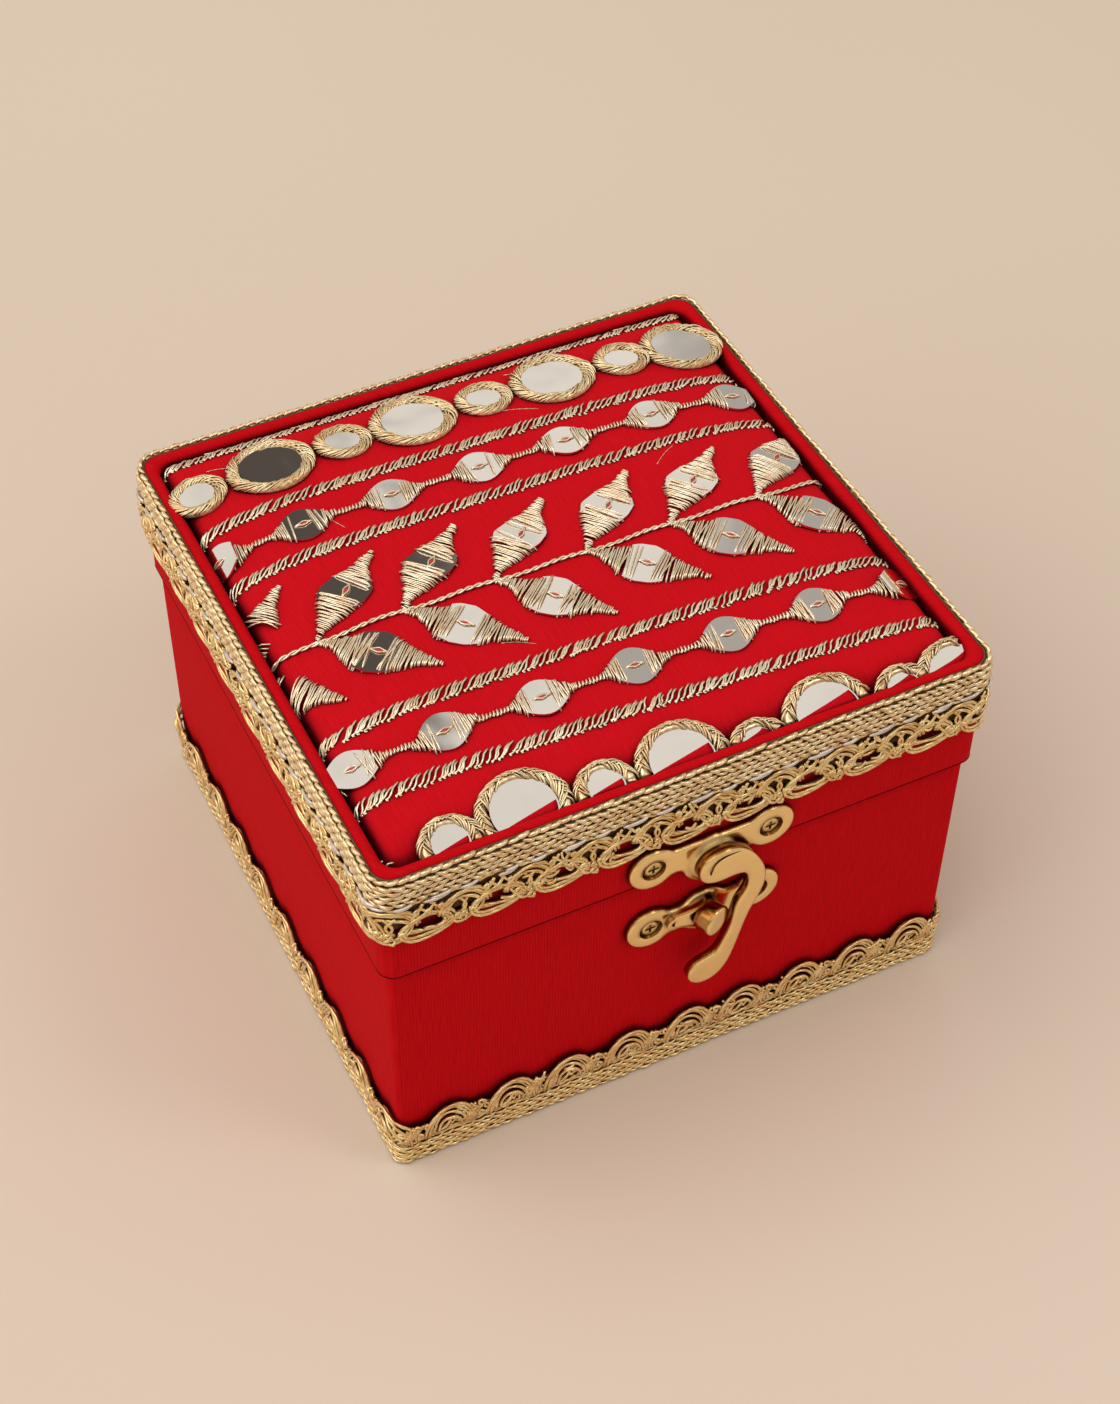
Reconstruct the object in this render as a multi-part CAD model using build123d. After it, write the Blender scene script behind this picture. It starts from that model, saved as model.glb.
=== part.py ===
from build123d import *
import math
import os

os.makedirs("parts", exist_ok=True)

# Driving sizes of the box, in millimetres
lid_width = 127.0
lid_depth = 124.0
parting_height = 62.0
lid_height = 28.0
lid_overhang = 1.5
board_thickness = 2.5
floor_board_thickness = 3.0
cloth_thickness = 0.3
turn_in_depth = 12.0
lining_thickness = 1.8
lining_setback = 1.0
felt_thickness = 0.8
felt_inset = 2.0
lid_corner_radius = 4.5
base_corner_radius = 2.5
rim_rounding = 1.2
recess_corner_radius = 3.0
running_clearance = 0.1
pin_clearance = 0.05
cut_overrun = 5.0

# Padded panel on the lid
recess_depth = 6.0
card_thickness = 1.5
panel_gap = 0.8
panel_corner_radius = 3.0
panel_cloth_thickness = 0.4
panel_shoulder = 2.6
panel_edge_drop = 1.0
panel_crown = 3.8

# Lace trim
lace_thickness = 1.6
base_band_height = 8.8
lid_band_height = 7.6
lace_foot_clearance = 0.4
lace_rim_drop = 0.3
lace_latch_gap = 0.5
scallop_pitch = 13.3
scallop_radius_share = 0.56
scallop_hole_share = 0.23
base_scallop_reach = 9.5

# Swing latch
latch_centre = 3.4
latch_plate_thickness = 1.5
latch_ear_radius = 5.1
latch_ear_spacing = 25.0
latch_ear_height = 5.1
latch_bar_height = 6.6
latch_hub_radius = 6.2
latch_hub_drop = 2.6
latch_corner_blend = 1.8
latch_edge_round = 0.55
latch_drum_height = 0.9
latch_drum_foot_radius = 5.3
latch_drum_top_radius = 4.5
latch_drum_wall = 0.9
latch_arm_thickness = 2.0
latch_arm_drop = 34.5
latch_arm_bulge = 10.6
latch_rivet_radius = 1.5
latch_rivet_head_radius = 2.4
latch_rivet_head_height = 0.6
latch_rivet_depth = 1.2
catch_drop = 14.9
catch_ear_spacing = 23.2
catch_hub_radius = 5.6
groove_depth = 0.35
stud_radius = 3.3
stud_lean = 25.0
stud_across = 0.6
stud_rise = 1.3
stud_reach = 0.3
stud_shank_radius = 1.6
stud_bell_wall = 0.6
stud_bell_depth = 1.1
tongue_start = 7.0
tongue_length = 7.2
tongue_low = 1.2
tongue_high = 2.6
lower_leg_width = 2.6
lower_leg_turn = -4.0
lower_leg_rise = 0.5
upper_leg_width = 1.7
upper_leg_turn = 17.0
upper_leg_rise = 1.6
curl_radius = 1.6
curl_eye_radius = 0.7
curl_eye_depth = 0.5

# Screws
screw_head_radius = 1.9
screw_head_height = 0.6
screw_shank_radius = 0.8
screw_bite = 2.0
screw_cross_width = 0.5
screw_cross_length = 2.2
screw_cross_depth = 0.4
screw_clearance = 0.05
counterbore_radius = 2.5
counterbore_depth = 0.95

# Butt hinges
hinge_spacing_share = 0.6
hinge_length = 22.0
hinge_leaf_height = 9.0
hinge_leaf_thickness = 0.8
hinge_knuckle_radius = 1.6
hinge_pin_radius = 0.75
hinge_knuckle_count = 5
hinge_knuckle_gap = 0.15
hinge_screw_spacing = 12.0
hinge_screw_height = 6.0

# Height of the rim above the ground
rim_height = parting_height + lid_height

# Plan outlines, each as left, right, front and back
lid_plan = (-lid_width / 2, lid_width / 2, -lid_depth / 2, lid_depth / 2)
base_plan = (
    lid_plan[0] + lid_overhang,
    lid_plan[1] - lid_overhang,
    lid_plan[2] + lid_overhang,
    lid_plan[3],
)


def inset(plan, amount):
    left, right, front, back = plan
    return (left + amount, right - amount, front + amount, back - amount)


def slab(plan, low, high, radius=0.0):
    """An upright prism over a plan outline, with rounded corners if asked."""
    left, right, front, back = plan
    width, depth = right - left, back - front
    face = RectangleRounded(width, depth, radius) if radius > 0 else Rectangle(width, depth)
    return Pos((left + right) / 2, (front + back) / 2, low) * extrude(face, amount=high - low)


def upright_tube(outer, inner, low, high, outer_radius, inner_radius=0.0):
    return slab(outer, low, high, outer_radius) - slab(inner, low, high, inner_radius)


def split_frame(frame, outer, inner):
    """A square frame cut into front and back boards and the two sides between them."""
    box = frame.bounding_box()
    low, high = box.min.Z, box.max.Z
    wide_left, wide_right = outer[0] - cut_overrun, outer[1] + cut_overrun
    front = frame & slab((wide_left, wide_right, outer[2] - cut_overrun, inner[2]), low, high)
    back = frame & slab((wide_left, wide_right, inner[3], outer[3] + cut_overrun), low, high)
    middle = (inner[0] + inner[1]) / 2
    left = frame & slab((wide_left, middle, inner[2], inner[3]), low, high)
    right = frame & slab((middle, wide_right, inner[2], inner[3]), low, high)
    return {"front": front, "back": back, "left": left, "right": right}


def facing_front(x, y, z):
    """Puts a shape that is drawn flat with its face up onto a surface that faces the front."""
    return Pos(x, y, z) * Rot(90, 0, 0)


def facing_back(x, y, z):
    return Pos(x, y, z) * Rot(-90, 0, 0)


parts = {}

# Heights of the base's layers
floor_board_low = felt_thickness
floor_board_high = floor_board_low + floor_board_thickness
base_wall_low = felt_thickness + cloth_thickness
base_wall_high = parting_height - cloth_thickness
base_board_plan = inset(base_plan, cloth_thickness)
base_inner_plan = inset(base_board_plan, board_thickness)
base_lined_plan = inset(base_inner_plan, cloth_thickness)
base_room_plan = inset(base_lined_plan, lining_thickness)
base_board_radius = base_corner_radius - cloth_thickness

# Heights of the lid's layers
top_board_high = rim_height - recess_depth
top_board_low = top_board_high - floor_board_thickness
lid_wall_low = parting_height + cloth_thickness
lid_wall_high = rim_height - cloth_thickness
lid_board_plan = inset(lid_plan, cloth_thickness)
lid_inner_plan = inset(lid_board_plan, board_thickness)
lid_lined_plan = inset(lid_inner_plan, cloth_thickness)
lid_room_plan = inset(lid_lined_plan, lining_thickness)
lid_board_radius = lid_corner_radius - cloth_thickness


# Screws: a low round head with a cross slot over a plain shank, drawn with the head up
screw_cross_flare = screw_cross_length / 2


def screw(grip):
    """A screw whose head stands on the grip's outer face and whose shank goes down through it."""
    head = extrude(Circle(screw_head_radius), amount=screw_head_height)
    crown_edge = head.edges().sort_by(Axis.Z)[-1]
    head = fillet(crown_edge, screw_head_height / 2)
    slot = Rectangle(screw_cross_length, screw_cross_width)
    slot += Rectangle(screw_cross_width, screw_cross_length)
    recess = Pos(0, 0, screw_head_height - screw_cross_depth) * extrude(slot, amount=screw_cross_depth * 2)
    length = grip + screw_bite
    shank = Pos(0, 0, -length) * extrude(Circle(screw_shank_radius), amount=length)
    return head + shank - recess


def screw_hole(grip):
    length = grip + screw_bite + screw_clearance
    return Pos(0, 0, -length) * extrude(Circle(screw_shank_radius + screw_clearance), amount=length)


# Where the latch sits on the lid's front face, and the catch on the base's front face
lid_face = lid_plan[2]
base_face = base_plan[2]
latch_ear_level = parting_height + latch_ear_height
pivot_level = latch_ear_level - latch_hub_drop
catch_ear_level = parting_height - catch_drop
latch_screw_places = [
    (latch_centre + side * latch_ear_spacing / 2, latch_ear_level) for side in (-1, 1)
]
catch_screw_places = [
    (latch_centre + side * catch_ear_spacing / 2, catch_ear_level) for side in (-1, 1)
]
latch_screw_grip = latch_plate_thickness - counterbore_depth + cloth_thickness
hinge_screw_grip = hinge_leaf_thickness + cloth_thickness

# Where the hinges sit on the back face
back_face = lid_plan[3]
hinge_axis_y = back_face + hinge_knuckle_radius + running_clearance
hinge_axis_z = parting_height
hinge_places = [side * lid_width * hinge_spacing_share / 2 for side in (-1, 1)]


def hinge_screw_places(direction):
    """The screws of the leaves above (1) or below (-1) the pin, as x and z."""
    return [
        (x + side * hinge_screw_spacing / 2, hinge_axis_z + direction * hinge_screw_height)
        for x in hinge_places
        for side in (-1, 1)
    ]


lid_screw_holes = [
    facing_front(x, lid_face - cloth_thickness, z) * screw_hole(latch_screw_grip)
    for x, z in latch_screw_places
] + [
    facing_back(x, back_face + hinge_leaf_thickness, z) * screw_hole(hinge_screw_grip)
    for x, z in hinge_screw_places(1)
]
base_screw_holes = [
    facing_front(x, base_face - cloth_thickness, z) * screw_hole(latch_screw_grip)
    for x, z in catch_screw_places
] + [
    facing_back(x, back_face + hinge_leaf_thickness, z) * screw_hole(hinge_screw_grip)
    for x, z in hinge_screw_places(-1)
]

# Base: floor board, four wall boards and the felt under them
parts["base_underside_felt"] = slab(
    inset(base_plan, felt_inset), 0, felt_thickness, base_corner_radius
)
parts["base_floor_board"] = slab(base_inner_plan, floor_board_low, floor_board_high)
base_walls = upright_tube(
    base_board_plan, base_inner_plan, base_wall_low, base_wall_high, base_board_radius
)
for side, wall in split_frame(base_walls, base_board_plan, base_inner_plan).items():
    parts[f"base_{side}_wall"] = wall - base_screw_holes

# Base: covering cloth, glued outside, over the top edge, a little way down inside and under the walls
base_skin = upright_tube(
    base_plan, base_lined_plan, felt_thickness, parting_height, base_corner_radius
)
base_skin -= upright_tube(
    base_board_plan, base_inner_plan, base_wall_low, base_wall_high, base_board_radius
)
base_skin -= slab(base_inner_plan, felt_thickness, parting_height - turn_in_depth)
parts["base_cover_cloth"] = base_skin - base_screw_holes

# Base: cloth-covered lining cards
base_lining_high = parting_height - lining_setback
base_linings = upright_tube(
    base_lined_plan, base_room_plan, floor_board_high, base_lining_high, 0.0
)
for side, card in split_frame(base_linings, base_lined_plan, base_room_plan).items():
    parts[f"base_{side}_lining"] = card
parts["base_floor_lining"] = slab(
    base_room_plan, floor_board_high, floor_board_high + lining_thickness
)

# Lid: top board and four wall boards, whose rounded tops stand up as the rim
parts["lid_top_board"] = slab(lid_inner_plan, top_board_low, top_board_high)


def rimmed_frame(outer, inner, low, high, outer_radius, inner_radius, rounding):
    """A frame that is square inside up to the recess, with a round-topped rim above it."""
    rim = upright_tube(outer, inner, top_board_high, high, outer_radius, inner_radius)
    rim = fillet(rim.faces().sort_by(Axis.Z)[-1].edges(), rounding)
    return rim + upright_tube(outer, inner, low, top_board_high, outer_radius)


board_rounding = rim_rounding - cloth_thickness / 2
cloth_rounding = rim_rounding + cloth_thickness / 2
lid_walls = rimmed_frame(
    lid_board_plan,
    lid_inner_plan,
    lid_wall_low,
    lid_wall_high,
    lid_board_radius,
    recess_corner_radius,
    board_rounding,
)
for side, wall in split_frame(lid_walls, lid_board_plan, lid_inner_plan).items():
    parts[f"lid_{side}_wall"] = wall - lid_screw_holes

# Lid: covering cloth, from the recess over the rim, down outside and turned in under the edge
lid_skin = rimmed_frame(
    lid_plan,
    lid_lined_plan,
    parting_height,
    rim_height,
    lid_corner_radius,
    recess_corner_radius - cloth_thickness,
    cloth_rounding,
)
lid_skin -= lid_walls
lid_skin -= slab(lid_inner_plan, parting_height + turn_in_depth, top_board_high)
parts["lid_cover_cloth"] = lid_skin - lid_screw_holes

# Lid: cloth-covered lining cards
ceiling_low = top_board_low - lining_thickness
parts["lid_top_lining"] = slab(lid_lined_plan, ceiling_low, top_board_low)
lid_linings = upright_tube(
    lid_lined_plan, lid_room_plan, parting_height + lining_setback, ceiling_low, 0.0
)
for side, card in split_frame(lid_linings, lid_lined_plan, lid_room_plan).items():
    parts[f"lid_{side}_lining"] = card

# Padded panel: the crown rises from the edge, and is stuffed fuller towards the back
panel_plan = inset(lid_lined_plan, panel_gap)
panel_edge_level = rim_height - panel_edge_drop
shoulder_level = panel_edge_level - panel_shoulder / 2

# Level of each section of the crown, how far it reaches to each side, front and back, and its corner
crown_shares = [
    (0.00, 0.975, 0.972, 0.978, 0.08),
    (0.30, 0.925, 0.860, 0.955, 0.14),
    (0.58, 0.850, 0.700, 0.900, 0.24),
    (0.82, 0.740, 0.490, 0.700, 0.34),
    (1.00, 0.520, 0.220, 0.320, 0.44),
]


def plan_face(plan, level, radius):
    left, right, front, back = plan
    return Pos((left + right) / 2, (front + back) / 2, level) * RectangleRounded(
        right - left, back - front, radius
    )


def crowned_pad(plan, low, rise):
    """A pad with upright sides, a rounded shoulder and a crowned top, raised by rise."""
    left, right, front, back = plan
    shoulder = shoulder_level + rise
    corner = panel_corner_radius
    sections = [plan_face(plan, shoulder, corner)]
    for height_share, side_share, front_share, back_share, corner_share in crown_shares:
        reach = (left * side_share, right * side_share, front * front_share, back * back_share)
        depth = reach[3] - reach[2]
        sections.append(
            plan_face(
                reach,
                panel_edge_level + rise + panel_crown * height_share,
                max(corner, depth * corner_share),
            )
        )
    return slab(plan, low, shoulder, corner) + loft(sections, ruled=True)


panel_core_plan = inset(panel_plan, panel_cloth_thickness)
panel_form = crowned_pad(panel_plan, top_board_high, 0.0)
panel_core = crowned_pad(panel_core_plan, top_board_high, -panel_cloth_thickness)
card_high = top_board_high + card_thickness
parts["panel_card"] = slab(panel_core_plan, top_board_high, card_high, panel_corner_radius)
parts["panel_padding"] = panel_core - slab(inset(panel_plan, -cut_overrun), top_board_high, card_high)
parts["panel_embroidered_cloth"] = panel_form - panel_core

# Embroidery on the panel: heights off the cloth
mirror_thickness = 0.9
ring_height = 1.7
thread_height = 0.8

# Rows run across the panel, so their pitches are shares of its width
panel_width = panel_plan[1] - panel_plan[0]
panel_half_depth = (panel_plan[3] - panel_plan[2]) / 2
round_pitch_share = 0.2626
round_pitch = panel_width * round_pitch_share
almond_pitch = panel_width * 0.161
leaf_pitch = panel_width * 0.1594

# Sizes as shares of the pitch of their row
round_module_share = 0.54
round_module = min(round_pitch, panel_half_depth * round_module_share)
large_glass_share, large_ring_share = 0.192, 0.278
small_glass_share, small_ring_share = 0.105, 0.192
large_glass_radius = round_module * large_glass_share
large_ring_radius = round_module * large_ring_share
small_glass_radius = round_module * small_glass_share
small_ring_radius = round_module * small_ring_share
almond_length = almond_pitch * 0.54
almond_width = almond_pitch * 0.448
leaf_length = leaf_pitch * 1.25
leaf_width = leaf_pitch * 0.526
leaf_start = leaf_pitch * 0.084
stem_width = leaf_pitch * 0.047
rope_width = panel_half_depth * 0.0516
edge_rope_width = panel_half_depth * 0.038
almond_glass_share = 0.33
leaf_glass_share = 0.26
leaf_angle = 43.5

# Levels of the rows as shares of the panel's half depth, and where each row starts, in pitches
edge_rope_level = panel_half_depth * 0.979
vine_level = panel_half_depth * -0.081
leaf_start_share = 0.263
round_row_shares = [(0.807, -0.31), (-0.995, -0.032)]
almond_row_shares = [(0.449, -0.156), (-0.618, 0.026)]

# The rope bands: level share, and the slope share by which the hand work drifts
rope_row_shares = [(0.589, -0.01), (0.31, -0.01), (-0.465, -0.016), (-0.764, -0.03)]


def repeats(first, pitch, reach):
    """Places along a row, a pitch apart through first, that lie within reach of the middle."""
    low = math.ceil((-reach - first) / pitch)
    high = math.floor((reach - first) / pitch)
    return [first + pitch * number for number in range(low, high + 1)]


def on_panel(outlines, height):
    """Flat outlines raised off the crowned cloth to one height above it."""
    low, high = panel_edge_level - panel_shoulder, rim_height + panel_crown + height
    columns = [Pos(0, 0, low) * extrude(outline, amount=high - low) for outline in outlines]
    lifted = Pos(0, 0, height) * panel_form - panel_form
    pieces = []
    for column in columns:
        pieces.extend(solid for solid in (lifted & column).solids())
    return Compound(children=pieces)


panel_reach = panel_plan[1]
large_places = []
small_places = []
for level_share, start_share in round_row_shares:
    level = panel_half_depth * level_share
    first = round_pitch * start_share
    large_places += [(x, level) for x in repeats(first, round_pitch, panel_reach)]
    small_places += [
        (x, level) for x in repeats(first + round_pitch / 2, round_pitch, panel_reach)
    ]
almond_places = [
    (x, panel_half_depth * level_share)
    for level_share, start_share in almond_row_shares
    for x in repeats(almond_pitch * start_share, almond_pitch, panel_reach)
]


def lens(length, width):
    """A pointed oval: two equal arcs that meet at its ends."""
    upper = ThreePointArc((-length / 2, 0), (0, width / 2), (length / 2, 0))
    lower = ThreePointArc((length / 2, 0), (0, -width / 2), (-length / 2, 0))
    return make_face([upper, lower])


def across_band(length, width, share):
    return Rectangle(length * share, width)


def leaf_places():
    for x in repeats(leaf_pitch * leaf_start_share, leaf_pitch, panel_reach):
        for side in (1, -1):
            middle = leaf_start + leaf_length / 2
            yield Pos(x, vine_level) * Rot(0, 0, side * leaf_angle) * Pos(middle, 0)


almond_face = lens(almond_length, almond_width)
almond_band = across_band(almond_length, almond_width, almond_glass_share)
leaf_face = lens(leaf_length, leaf_width)
leaf_band = across_band(leaf_length, leaf_width, leaf_glass_share)
parts["large_round_mirrors"] = on_panel(
    [Pos(x, y) * Circle(large_glass_radius) for x, y in large_places], mirror_thickness
)
parts["small_round_mirrors"] = on_panel(
    [Pos(x, y) * Circle(small_glass_radius) for x, y in small_places], mirror_thickness
)
parts["mirror_thread_rings"] = on_panel(
    [
        Pos(x, y) * (Circle(large_ring_radius) - Circle(large_glass_radius))
        for x, y in large_places
    ]
    + [
        Pos(x, y) * (Circle(small_ring_radius) - Circle(small_glass_radius))
        for x, y in small_places
    ],
    ring_height,
)
parts["almond_mirrors"] = on_panel(
    [Pos(x, y) * (almond_face & almond_band) for x, y in almond_places], mirror_thickness
)
parts["almond_threads"] = on_panel(
    [Pos(x, y) * (almond_face - almond_band) for x, y in almond_places], thread_height
)
parts["leaf_mirrors"] = on_panel(
    [place * (leaf_face & leaf_band) for place in leaf_places()], mirror_thickness
)
parts["leaf_threads"] = on_panel(
    [place * (leaf_face - leaf_band) for place in leaf_places()], thread_height
)
rope_bands = [Pos(0, edge_rope_level) * Rectangle(lid_width, edge_rope_width)]
for level_share, slope in rope_row_shares:
    turn = math.degrees(math.atan(slope))
    place = Pos(0, panel_half_depth * level_share) * Rot(0, 0, turn)
    rope_bands.append(place * Rectangle(lid_width, rope_width))
parts["rope_stitch_bands"] = on_panel(rope_bands, thread_height)
stem = Pos(0, vine_level) * Rectangle(lid_width, stem_width)
parts["vine_stem_thread"] = on_panel([stem], thread_height)


# Lace: a braided band with a row of open fans along one edge
def lace_fans(length, reach, direction):
    """Fans drawn flat along X, standing up (1) or hanging down (-1) from the band's edge."""
    count = int(length // scallop_pitch)
    radius = reach * scallop_radius_share
    rise = reach - radius
    outline = None
    for number in range(count):
        x = (number - (count - 1) / 2) * scallop_pitch
        neck = Pos(x, direction * rise / 2) * Rectangle(radius * 2, rise)
        fan = Pos(x, direction * rise) * Circle(radius) + neck
        fan -= Pos(x, direction * rise) * Circle(reach * scallop_hole_share)
        outline = fan if outline is None else outline + fan
    return extrude(outline, amount=lace_thickness)


def lace(plan, radius, low, high, reach, direction):
    """A lace band round a plan outline, with its fans above (1) or below (-1)."""
    left, right, front, back = plan
    outer = inset(plan, -lace_thickness)
    band = upright_tube(outer, plan, low, high, radius + lace_thickness, radius)
    edge = high if direction > 0 else low
    across, along = right - left - radius * 2, back - front - radius * 2
    middle_x, middle_y = (left + right) / 2, (front + back) / 2
    sides = [
        (middle_x, front, 0, across),
        (right, middle_y, 90, along),
        (middle_x, back, 180, across),
        (left, middle_y, 270, along),
    ]
    for x, y, turn, length in sides:
        band += Pos(x, y, edge) * Rot(0, 0, turn) * Rot(90, 0, 0) * lace_fans(length, reach, direction)
    return band


base_lace_high = lace_foot_clearance + base_band_height
lid_lace_high = rim_height - lace_rim_drop
lid_lace_low = lid_lace_high - lid_band_height
latch_plate_top = latch_ear_level + latch_ear_radius
lid_scallop_reach = lid_lace_low - latch_plate_top - lace_latch_gap
parts["base_lace"] = lace(
    base_plan, base_corner_radius, lace_foot_clearance, base_lace_high, base_scallop_reach, 1
)
parts["lid_lace"] = lace(
    lid_plan, lid_corner_radius, lid_lace_low, lid_lace_high, lid_scallop_reach, -1
)


# Latch: two eared plates, a drum that carries the arm, and a stud that the arm hooks round
def eared_plate(ear_spacing, hub_radius, hub_drop):
    """A plate drawn flat with its face up: two ears, a bar between them and a round hub."""
    outline = Rectangle(ear_spacing, latch_bar_height) + Pos(0, -hub_drop) * Circle(hub_radius)
    for side in (-1, 1):
        outline += Pos(side * ear_spacing / 2, 0) * Circle(latch_ear_radius)
    outline = offset(outline, amount=latch_corner_blend)
    outline = offset(outline, amount=-latch_corner_blend)
    plate = extrude(outline, amount=latch_plate_thickness)
    plate = fillet(plate.faces().sort_by(Axis.Z)[-1].edges(), latch_edge_round)
    for side in (-1, 1):
        ear = Pos(side * ear_spacing / 2, 0, 0)
        plate -= ear * extrude(Circle(screw_shank_radius + screw_clearance), amount=cut_overrun)
        seat = Pos(0, 0, latch_plate_thickness - counterbore_depth)
        plate -= ear * seat * extrude(Circle(counterbore_radius), amount=cut_overrun)
    return plate


drum_top = latch_plate_thickness + latch_drum_height
drum = Pos(0, -latch_hub_drop, latch_plate_thickness) * extrude(
    Circle(latch_drum_foot_radius), amount=latch_drum_height, taper=math.degrees(
        math.atan2(latch_drum_foot_radius - latch_drum_top_radius, latch_drum_height))
)
rivet_hole = Circle(latch_rivet_radius + pin_clearance)
hollow_depth = drum_top - latch_drum_wall
hollow_radius = latch_rivet_head_radius + running_clearance * 2
top_plate = eared_plate(latch_ear_spacing, latch_hub_radius, latch_hub_drop) + drum
top_plate -= Pos(0, -latch_hub_drop) * extrude(rivet_hole, amount=cut_overrun)
top_plate -= Pos(0, -latch_hub_drop) * extrude(Circle(hollow_radius), amount=hollow_depth)
parts["latch_top_plate"] = facing_front(latch_centre, lid_face, latch_ear_level) * top_plate

# Swing arm: its outline from the pivot, as shares of its bulge across and its drop down
arm_outline_shares = [
    (0.00, 0.122),
    (0.34, 0.112),
    (0.62, 0.048),
    (0.84, -0.055),
    (0.99, -0.180),
    (0.99, -0.285),
    (0.86, -0.400),
    (0.72, -0.500),
    (0.59, -0.640),
    (0.46, -0.790),
    (0.33, -0.900),
    (0.08, -0.985),
    (-0.24, -0.998),
    (-0.46, -0.935),
    (-0.44, -0.850),
    (-0.20, -0.800),
    (0.05, -0.770),
    (0.20, -0.690),
    (0.32, -0.590),
    (0.385, -0.470),
    (0.46, -0.370),
    (0.60, -0.290),
    (0.63, -0.200),
    (0.52, -0.130),
    (0.28, -0.118),
    (0.00, -0.122),
    (-0.26, -0.095),
    (-0.396, 0.000),
    (-0.26, 0.095),
]
arm_points = [
    (latch_arm_bulge * across, latch_arm_drop * along) for across, along in arm_outline_shares
]
arm_blank = extrude(make_face(Spline(arm_points, periodic=True)), amount=latch_arm_thickness)
arm_blank = fillet(arm_blank.faces().sort_by(Axis.Z)[-1].edges(), latch_edge_round)
groove_outline_shares = [
    (-0.190, -0.030),
    (-0.185, 0.030),
    (-0.080, 0.072),
    (0.120, 0.094),
    (0.400, 0.086),
    (0.130, 0.078),
    (-0.050, 0.054),
    (-0.125, 0.018),
]
groove_points = [
    (latch_arm_bulge * across, latch_arm_drop * along) for across, along in groove_outline_shares
]
groove = make_face(Spline(groove_points, periodic=True))
arm_blank -= Pos(0, 0, latch_arm_thickness - groove_depth) * extrude(groove, amount=cut_overrun)
rivet_socket = extrude(Circle(latch_rivet_radius), amount=latch_rivet_depth)
arm_level = drum_top + running_clearance
latch_place = facing_front(latch_centre, lid_face - arm_level, pivot_level)
parts["latch_arm"] = latch_place * (arm_blank - rivet_socket)

# Rivet: fixed in the arm's back, turning in the drum, with its head spread inside the drum
rivet_reach = latch_drum_wall + running_clearance * 2
rivet = Pos(0, 0, -rivet_reach) * extrude(
    Circle(latch_rivet_radius), amount=rivet_reach + latch_rivet_depth
)
rivet += Pos(0, 0, -rivet_reach - latch_rivet_head_height) * extrude(
    Circle(latch_rivet_head_radius), amount=latch_rivet_head_height
)
parts["latch_pivot_rivet"] = latch_place * rivet

# Catch stud: a bell that leans to the right, open towards the plate, riveted through it
stud_top = (
    drum_top + running_clearance + latch_arm_thickness + stud_reach + lid_overhang
)
stud_angle = math.radians(stud_lean)
stud_edge_top = stud_top - stud_radius * math.sin(stud_angle)
stud_length = (stud_edge_top - latch_plate_thickness) / math.cos(stud_angle)
bell = Pos(0, 0, -stud_length) * extrude(Circle(stud_radius), amount=stud_length)
bell = fillet(bell.edges().sort_by(Axis.Z)[-1], latch_edge_round)
bell -= Pos(0, 0, -stud_length) * extrude(
    Circle(stud_radius - stud_bell_wall), amount=stud_bell_depth
)
stud = Pos(stud_across, stud_rise, stud_top) * Rot(0, stud_lean, 0) * bell
stud += Pos(stud_across, stud_rise) * extrude(
    Circle(stud_shank_radius), amount=stud_top - stud_shank_radius
)

# Catch plate: two raised legs run from a curl beside the left screw into the bell
leg_side = Polyline(
    (0, 0),
    (0, tongue_low),
    (tongue_length, tongue_high),
    (tongue_length, 0),
    close=True,
)


def tongue_leg(width, turn, rise):
    """One leg: its side view drawn out to its width, turned away from the curl."""
    leg = Pos(0, width / 2, 0) * Rot(90, 0, 0) * extrude(make_face(leg_side), amount=width)
    return Pos(-tongue_start, rise, latch_plate_thickness) * Rot(0, 0, turn) * leg


curl = extrude(Circle(curl_radius), amount=tongue_low)
curl -= Pos(0, 0, tongue_low - curl_eye_depth) * extrude(
    Circle(curl_eye_radius), amount=curl_eye_depth
)
catch_plate = eared_plate(catch_ear_spacing, catch_hub_radius, 0)
catch_plate += tongue_leg(lower_leg_width, lower_leg_turn, lower_leg_rise)
catch_plate += tongue_leg(upper_leg_width, upper_leg_turn, upper_leg_rise)
catch_plate += Pos(-tongue_start, lower_leg_rise, latch_plate_thickness) * curl
catch_plate -= stud
parts["latch_catch_plate"] = facing_front(latch_centre, base_face, catch_ear_level) * catch_plate
parts["latch_catch_stud"] = facing_front(latch_centre, base_face, catch_ear_level) * stud

# Screws of the latch and the catch
seat_level = latch_plate_thickness - counterbore_depth
parts["latch_plate_screws"] = Compound(
    children=[
        facing_front(x, lid_face - seat_level, z) * screw(latch_screw_grip)
        for x, z in latch_screw_places
    ]
)
parts["catch_plate_screws"] = Compound(
    children=[
        facing_front(x, base_face - seat_level, z) * screw(latch_screw_grip)
        for x, z in catch_screw_places
    ]
)

# Butt hinges: leaves on the back face, knuckles in turn along one pin
knuckle_pitch = hinge_length / hinge_knuckle_count
knuckle_length = knuckle_pitch - hinge_knuckle_gap
leaf_start = hinge_knuckle_radius + running_clearance * 4


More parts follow.
